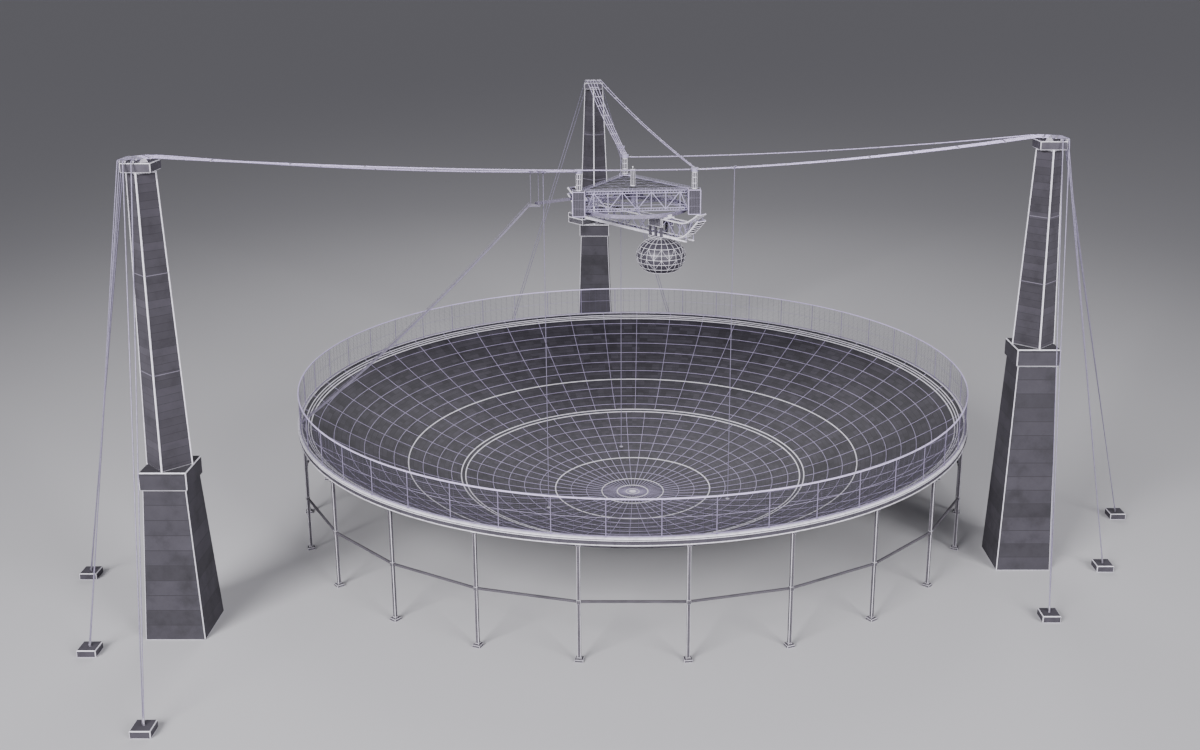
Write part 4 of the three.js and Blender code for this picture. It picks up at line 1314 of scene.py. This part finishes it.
bpy.ops.mesh.primitive_uv_sphere_add(
    segments=24, ring_count=14, radius=0.3 * metre, location=(0, 0, mast_top + 0.95 * metre)
)
bpy.ops.object.shade_smooth()
lamp = bpy.context.object
bpy.ops.mesh.primitive_cylinder_add(
    vertices=16, radius=0.12 * metre, depth=0.8 * metre, location=(0, 0, mast_top + 0.38 * metre)
)
fit(join([lamp, bpy.context.object]), "mast_light", "structure", "house", light_glass)

# Azimuth track
# The steel ring that the arm's trucks run on, hung from the platform by blocks. Its web has a
# flange and a row of small stiffening plates, all welded on.
track_steel = weathered(
    "track steel", (0.3, 0.27, 0.38), roughness=0.45, metallic=0.4, grain=16, spread=0.3
)
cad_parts["azimuth_track"].data.materials.clear()
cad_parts["azimuth_track"].data.materials.append(track_steel)
track_low = rim_z + 91.1 * metre
track_radius = 24.7 * metre
track_width = 0.5 * metre
flange = hoop(track_radius, track_low + 1.55 * metre, track_width, 0.12 * metre, 0, 96)
deselect()
bpy.ops.mesh.primitive_cube_add(size=1, location=(track_radius, 0, track_low + 1.25 * metre))
stiffener = bpy.context.object
stiffener.scale = (track_width, 0.06 * metre, 0.5 * metre)
stiffeners = repeat(stiffener, around(72, 2.5))
fit(join([flange, stiffeners]), "track_stiffeners", "structure", "truss", lavender_steel)

# Azimuth arm
# A welded steel box truss, 93 m long, with both ends bent up. Closely set rungs and a plate of
# dark grating tie its two sides together at both chords, and lighter webs halve each bay.
arm_steel = weathered(
    "arm white steel", shaded(bone, 1.1), roughness=0.45, metallic=0.1, grain=14, spread=0.15
)
for name in ("azimuth_truck_1", "azimuth_truck_2"):
    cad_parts[name].data.materials.clear()
    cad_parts[name].data.materials.append(arm_steel)
arm_turn = math.radians(-50)
arm_along = Vector((math.cos(arm_turn), math.sin(arm_turn), 0))
arm_across = Vector((-arm_along.y, arm_along.x, 0))
arm_top = rim_z + 89.9 * metre
arm_low = rim_z + 82.8 * metre
arm_half = 46.0
arm_side = 2.2  # half the distance between the arm's two sides

# How each chord rises towards its ends: distance from the middle and height, in metres
top_line = [(0, 0), (36.2, 0), (39.5, 1), (42.8, 2.9), (46.2, 5.3)]
low_line = [(0, 0), (32.5, 0), (36.2, 1), (39.5, 3.1), (42.8, 6.2), (46.2, 9.6)]


def on_arm(distance, sideways, height):
    point = arm_along * (distance * metre) + arm_across * (sideways * metre)
    return Vector((point.x, point.y, height))


def chord_height(line, base, distance):
    reach = abs(distance)
    for (x0, z0), (x1, z1) in zip(line, line[1:]):
        if reach <= x1:
            return base + (z0 + (z1 - z0) * (reach - x0) / (x1 - x0)) * metre
    return base + line[-1][1] * metre


# A point by a chord, offset square to its line, with all lengths in metres
def chord_edge(line, base, distance, side, offset):
    step = 0.4
    rise = chord_height(line, base, distance + step) - chord_height(line, base, distance - step)
    tilt = math.atan2(rise, 2 * step * metre)
    height = chord_height(line, base, distance) + offset * metre * math.cos(tilt)
    return on_arm(distance - offset * math.sin(tilt), side, height)


chords, rungs, slats, webs, fine_webs, plates = [], [], [], [], [], []
stations = [-32.5 + 6.5 * k for k in range(11)]
stations = [-arm_half, -42.8, -39.5, -36.2, *stations, 36.2, 39.5, 42.8, arm_half]
cells = 72
spots = [-arm_half + 2 * arm_half * k / cells for k in range(cells + 1)]
for line, base in ((top_line, arm_top), (low_line, arm_low)):
    for side in (-arm_side, arm_side):
        edge = [chord_edge(line, base, at, side, 0) for at in spots]
        chords += list(zip(edge, edge[1:]))
    for i, at in enumerate(spots):
        rungs.append([chord_edge(line, base, at, side, -0.3) for side in (-arm_side, arm_side)])
        if i % 2 == 0:
            slats.append([chord_edge(line, base, at, side, 0) for side in (-arm_side, arm_side)])
    centre = [chord_edge(line, base, at, 0, -0.1) for at in spots]
    plates += list(zip(centre, centre[1:]))
for side in (-arm_side, arm_side):
    for i, (a, b) in enumerate(zip(stations, stations[1:])):
        top_a, low_a = chord_height(top_line, arm_top, a), chord_height(low_line, arm_low, a)
        top_b, low_b = chord_height(top_line, arm_top, b), chord_height(low_line, arm_low, b)
        if i % 2:
            webs.append((on_arm(a, side, top_a), on_arm(b, side, low_b)))
        else:
            webs.append((on_arm(a, side, low_a), on_arm(b, side, top_b)))
        halfway = (a + b) / 2
        fine_webs.append(
            (
                on_arm(halfway, side, chord_height(low_line, arm_low, halfway)),
                on_arm(halfway, side, chord_height(top_line, arm_top, halfway)),
            )
        )
for i, at in enumerate(stations):
    for line, base in ((top_line, arm_top), (low_line, arm_low)):
        height = chord_height(line, base, at)
        webs.append((on_arm(at, -arm_side, height), on_arm(at, arm_side, height)))
        if i:
            before = stations[i - 1]
            side = arm_side if i % 2 else -arm_side
            start = on_arm(before, -side, chord_height(line, base, before))
            fine_webs.append((start, on_arm(at, side, height)))

# Each rail is a flat foot under an upright web, held at both ends by a hanger
rail_low = arm_low - 0.85 * metre
rail_start = -43
rail_end = 38.8
rails = []
for side in (-arm_side, arm_side):
    for width, depth, height in ((0.8, 0.15, 0.075), (0.24, 0.6, 0.3)):
        ends = [on_arm(at, side, rail_low + height * metre) for at in (rail_start, rail_end)]
        rails.append(struts([ends], width * metre, depth * metre))
    for at in (rail_start + 0.3, rail_end - 0.3):
        chord_z = chord_height(low_line, arm_low, at)
        webs.append((on_arm(at, side, rail_low + 0.4 * metre), on_arm(at, side, chord_z)))
bright_bars = [
    struts(chords, 0.56 * metre),
    struts(rungs, 0.26 * metre),
    struts(slats, 0.12 * metre),
    *rails,
]
dull_bars = [struts(webs, 0.3 * metre), struts(fine_webs, 0.16 * metre)]
for bars, paint in ((bright_bars, arm_steel), (dull_bars, lavender_steel)):
    for bar in bars:
        bar.data.materials.append(paint)
fit(join(bright_bars + dull_bars), "arm_bars", "arm", "truss", stands_for=["azimuth_arm"])
fit(struts(plates, 4.2 * metre, 0.1 * metre), "arm_chord_gratings", "arm", "truss", grating)

# Feed carriage
# A steel-framed house that hangs under one half of the arm by wheels on the rails. It is clad in
# dark sheet, and pale angles and ribs are riveted over its edges and joints.
house_paint = weathered(
    "house grey paint", (0.1, 0.092, 0.12), roughness=0.5, metallic=0.1, grain=8, spread=0.25
)
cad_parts["feed_carriage"].data.materials.clear()
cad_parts["feed_carriage"].data.materials.append(cladding_and_painted_shade)


# The twelve edges of a box that lies along the arm
def arm_box_edges(near, far, inner, outer, low, high):
    points = {}
    for i, x in enumerate((near, far)):
        for j, y in enumerate((inner, outer)):
            for k, z in enumerate((low, high)):
                points[i, j, k] = on_arm(x, y, z)
    edges = []
    for a in (0, 1):
        for b in (0, 1):
            edges.append((points[0, a, b], points[1, a, b]))
            edges.append((points[a, 0, b], points[a, 1, b]))
            edges.append((points[a, b, 0], points[a, b, 1]))
    return edges


feed_at = -37.2  # the carriage's place along the arm, in metres from the middle
feed_near = feed_at - 5.35
feed_far = feed_at + 5.35
feed_side = 4.5
slot_side = 2.75  # half the width of the gap that the arm passes through
feed_low = rim_z + 79.1 * metre
feed_top = rim_z + 83.7 * metre
feed_deck = arm_low - 1.0 * metre
sill = feed_deck - 0.22 * metre  # the top of the lower frame, clear of the deck's own bars
edges = arm_box_edges(feed_near, feed_far, -feed_side, feed_side, feed_low, sill)
for a, b in ((-feed_side, -slot_side), (slot_side, feed_side)):
    edges += arm_box_edges(feed_near, feed_far, a, b, feed_deck, feed_top)
ribs = []
panels = 14
for k in range(1, panels):
    distance = feed_near + (feed_far - feed_near) * k / panels
    for side in (-feed_side, feed_side):
        ribs.append((on_arm(distance, side, feed_low), on_arm(distance, side, feed_top)))
    ribs.append((on_arm(distance, -feed_side, feed_low), on_arm(distance, feed_side, feed_low)))
panels = 12
for k in range(1, panels):
    side = -feed_side + 2 * feed_side * k / panels
    for distance in (feed_near, feed_far):
        ribs.append((on_arm(distance, side, feed_low), on_arm(distance, side, sill)))
fit(struts(edges, 0.22 * metre), "feed_house_angles", "feed_house", "truss", arm_steel)
house_ribs = weathered(
    "dull house ribs", shaded(bone, 0.45), roughness=0.5, metallic=0.1, grain=14, spread=0.2
)
fit(struts(ribs, 0.09 * metre), "feed_house_ribs", "feed_house", "truss", house_ribs)

# Dome carriage
# Two machinery rooms of painted sheet that straddle the arm, on steel posts that rise from a deck
# hung by wheels under the rails. Pale angles frame the rooms and the deck.
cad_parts["dome_carriage"].data.materials.clear()
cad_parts["dome_carriage"].data.materials.append(house_paint)
dome_at = 19.6  # the carriage's place along the arm, in metres from the middle
near = dome_at - 4.15
far = dome_at + 4.15
room_side = 3.7
room_low = rim_z + 86.5 * metre
room_top = arm_top + 0.2 * metre
deck_top = arm_low - 1.0 * metre
deck_low = deck_top - 0.7 * metre
edges = arm_box_edges(near, far, -room_side, room_side, deck_low, deck_top)
for a, b in ((-room_side, -slot_side), (slot_side, room_side)):
    edges += arm_box_edges(near, far, a, b, room_low, room_top)
ribs = []
panels = 9
for k in range(1, panels):
    distance = near + (far - near) * k / panels
    for side in (-room_side, room_side):
        ribs.append((on_arm(distance, side, room_low), on_arm(distance, side, room_top)))
fit(struts(edges, 0.18 * metre), "dome_carriage_angles", "dome", "truss", arm_steel)
fit(struts(ribs, 0.08 * metre), "dome_carriage_ribs", "dome", "truss", house_ribs)

# Dome
# A squashed ball of welded panels, 22 m across, open at its foot. Pale ribs follow its meridians
# and parallels, and crossed braces stiffen the lower half.
dome_radius = 11.1 * metre
dome_half = 8.6 * metre
dome_z = deck_low - hairline - dome_half
mouth_radius = 6.9 * metre
mouth = math.asin(mouth_radius / dome_radius)
dome_place = on_arm(dome_at, 0, dome_z)
dome_paint = weathered(
    "dome panels",
    (0.075, 0.068, 0.09),
    roughness=0.45,
    metallic=0.3,
    grain=6,
    spread=0.25,
    bump=0.15,
    pits=60,
)
deselect()
bpy.ops.mesh.primitive_uv_sphere_add(segments=64, ring_count=48, radius=1)
dome = bpy.context.object
bpy.ops.object.mode_set(mode="EDIT")
bpy.ops.mesh.bisect(plane_co=(0, 0, -math.cos(mouth)), plane_no=(0, 0, -1), clear_outer=True)
bpy.ops.object.mode_set(mode="OBJECT")
dome.scale = (dome_radius, dome_radius, dome_half)
dome.location = dome_place
bpy.ops.object.transform_apply(location=True, rotation=True, scale=True)
skin = dome.modifiers.new("skin", "SOLIDIFY")
skin.thickness = 0.3 * metre
skin.offset = -1
bpy.ops.object.modifier_apply(modifier="skin")
bpy.ops.object.shade_smooth_by_angle(angle=math.radians(40))
fit(dome, "dome_skin", "dome", "dome", dome_paint, stands_for=["dome_shell"])


# A point of the dome at one angle down from its top and one turn about its axis
def dome_point(polar, turn):
    radius = dome_radius * math.sin(polar)
    height = dome_half * math.cos(polar)
    return dome_place + Vector((radius * math.cos(turn), radius * math.sin(turn), height))


# The parallels are given by their share of the way from the top of the whole ball to its foot
ribs = []
parallels = [math.pi * share for share in (0.12, 0.22, 0.32, 0.42, 0.5, 0.58, 0.68)]
parallel_steps = 48
for polar in parallels + [math.pi - mouth - 0.02]:
    points = [
        dome_point(polar, math.tau * k / parallel_steps) for k in range(parallel_steps + 1)
    ]
    ribs += list(zip(points, points[1:]))
meridians = 20
meridian_steps = 24
for m in range(meridians):
    turn = math.tau * m / meridians
    points = [
        dome_point((math.pi - mouth) * k / meridian_steps, turn)
        for k in range(1, meridian_steps + 1)
    ]
    ribs += list(zip(points, points[1:]))
fit(struts(ribs, 0.16 * metre), "dome_ribs", "dome", "dome", white_steel)
braces = []
brace_steps = 6
for m in range(meridians):
    for a, b in ((0.5, 0.68), (0.32, 0.5)):
        start, end = (m, m + 1) if m % 2 else (m + 1, m)
        points = []
        for k in range(brace_steps + 1):
            turn = math.tau * (start + (end - start) * k / brace_steps) / meridians
            points.append(dome_point(math.pi * (a + (b - a) * k / brace_steps), turn))
        braces += list(zip(points, points[1:]))
fit(struts(braces, 0.1 * metre), "dome_braces", "dome", "dome", white_steel)
neck_z = dome_z + dome_half - 0.2 * metre
neck = hoop(3 * metre, neck_z, 0.5 * metre, 0.38 * metre, 0, 48)
mouth_z = dome_point(math.pi - mouth, 0).z + 0.2 * metre
mouth_ring = hoop(mouth_radius - 0.15 * metre, mouth_z, 0.35 * metre, 0.5 * metre, 0, 64)
for ring in (neck, mouth_ring):
    ring.location = (dome_place.x, dome_place.y, 0)
fit(join([neck, mouth_ring]), "dome_neck_and_mouth_ring", "dome", "dome", white_steel)

# Tie-downs
# A strand clamped under each tower's own cables drops through a collared hole in the bowl to a
# block on the ground, with a screw tensioner above the block.
tie_radius = 48.5 * metre
for name in names:
    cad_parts[f"tie_down_{name}"].data.materials.clear()
    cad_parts[f"tie_down_{name}"].data.materials.append(dull_strand)
    angle = math.radians(corner_angles[name])
    x, y = tie_radius * math.cos(angle), tie_radius * math.sin(angle)
    floor_z = sphere_z - math.sqrt(sphere_radius**2 - tie_radius**2)

    # Height, radius and depth of the two collars at the bowl, the tensioner's barrel and its rod
    collars = []
    for height, radius, depth in (
        (floor_z + 0.1 * metre, 0.9, 0.3),
        (floor_z - 0.6 * metre, 0.8, 0.3),
        (4.2 * metre, 0.34, 1.6),
        (5.4 * metre, 0.24, 1.2),
    ):
        deselect()
        bpy.ops.mesh.primitive_cylinder_add(
            vertices=24, radius=radius * metre, depth=depth * metre, location=(x, y, height)
        )
        collars.append(arrissed(bpy.context.object, 0.03 * metre))
    fit(join(collars), f"tie_down_fittings_{name}", "structure", "cable", socket_steel, socket_steel)

# Catwalk
# A hanging steel footway with a handrail and droppers each side, and a stage under the cables
# that a short level bridge joins to the left corner house.
catwalk_steel = weathered(
    "catwalk steel", (0.2, 0.18, 0.25), roughness=0.5, metallic=0.3, grain=12, spread=0.25
)
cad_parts["catwalk"].data.materials.clear()
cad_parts["catwalk"].data.materials.append(catwalk_steel)
stage_angle = math.radians(corner_angles["left"])
stage_reach = 53 * metre
stage_z = rim_z + 98.2 * metre
stage_half = 2.4 * metre
stage = Vector((math.cos(stage_angle), math.sin(stage_angle), 0)) * stage_reach
stage.z = stage_z
rim_angle = math.radians(193.5)
rim_reach = rim_radius + 0.3 * metre + hairline
rim_end = Vector((math.cos(rim_angle), math.sin(rim_angle), 0)) * rim_reach
rim_end.z = rim_z + hairline
walk = Vector((stage.x - rim_end.x, stage.y - rim_end.y, 0)).normalized()
side = Vector((-walk.y, walk.x, 0))
top_end = stage - walk * (stage_half + hairline)
walk_sag = 4 * metre
line = hanging(rim_end, top_end, walk_sag, 48)
rail_side = 0.74 * metre
post_foot = Vector((0, 0, 0.9 * metre))
rail_lift = Vector((0, 0, 1.75 * metre))
rails = []
for edge in (-rail_side, rail_side):
    for a, b in zip(line, line[1:]):
        rails.append((a + side * edge + rail_lift, b + side * edge + rail_lift))
    for point in line[1:-1]:
        rails.append((point + side * edge + post_foot, point + side * edge + rail_lift))
fit(struts(rails, 0.09 * metre), "catwalk_rails", "structure", "truss", catwalk_steel)

# Floor, light and camera
# A plain pale floor, three large soft lamps under a dim grey world, and the camera at the photo's
# angle with the same frame.
deselect()
bpy.ops.mesh.primitive_plane_add(size=3000, location=(0, 0, 0))
floor = bpy.context.object
floor.name = "floor"
floor_paint = bpy.data.materials.new("pale floor")
floor_paint.use_nodes = True
shader = floor_paint.node_tree.nodes["Principled BSDF"]
shader.inputs["Base Color"].default_value = (0.56, 0.55, 0.58, 1)
shader.inputs["Roughness"].default_value = 0.9
floor.data.materials.append(floor_paint)

world = bpy.data.worlds.new("studio")
world.use_nodes = True
background = world.node_tree.nodes["Background"]
background.inputs["Color"].default_value = (0.86, 0.86, 0.92, 1)
background.inputs["Strength"].default_value = 0.22
bpy.context.scene.world = world

# Place, size and power of the key, fill and back lamps, all aimed at a point above the bowl
aim = Vector((0, 0, 3))
for place, size, power in (
    ((-26, -42, 26), 22, 6500),
    ((28, -36, 20), 20, 3400),
    ((0, 40, 34), 26, 1300),
):
    lamp_data = bpy.data.lights.new("softbox", "AREA")
    lamp_data.size = size
    lamp_data.spread = math.radians(70)
    lamp_data.energy = power
    softbox = bpy.data.objects.new("softbox", lamp_data)
    softbox.location = place
    softbox.rotation_euler = (aim - Vector(place)).to_track_quat("-Z", "Y").to_euler()
    bpy.context.collection.objects.link(softbox)

lens = bpy.data.cameras.new("camera")
lens.sensor_width = 36
lens.lens = 37.97
lens.shift_x = -0.0242
lens.shift_y = -0.0601
lens.clip_end = 4000
camera = bpy.data.objects.new("camera", lens)
camera.location = (-0.086, -28.545, 12.363)
camera.rotation_euler = (math.radians(90 - 14.786), 0, 0)
bpy.context.collection.objects.link(camera)
bpy.context.scene.camera = camera
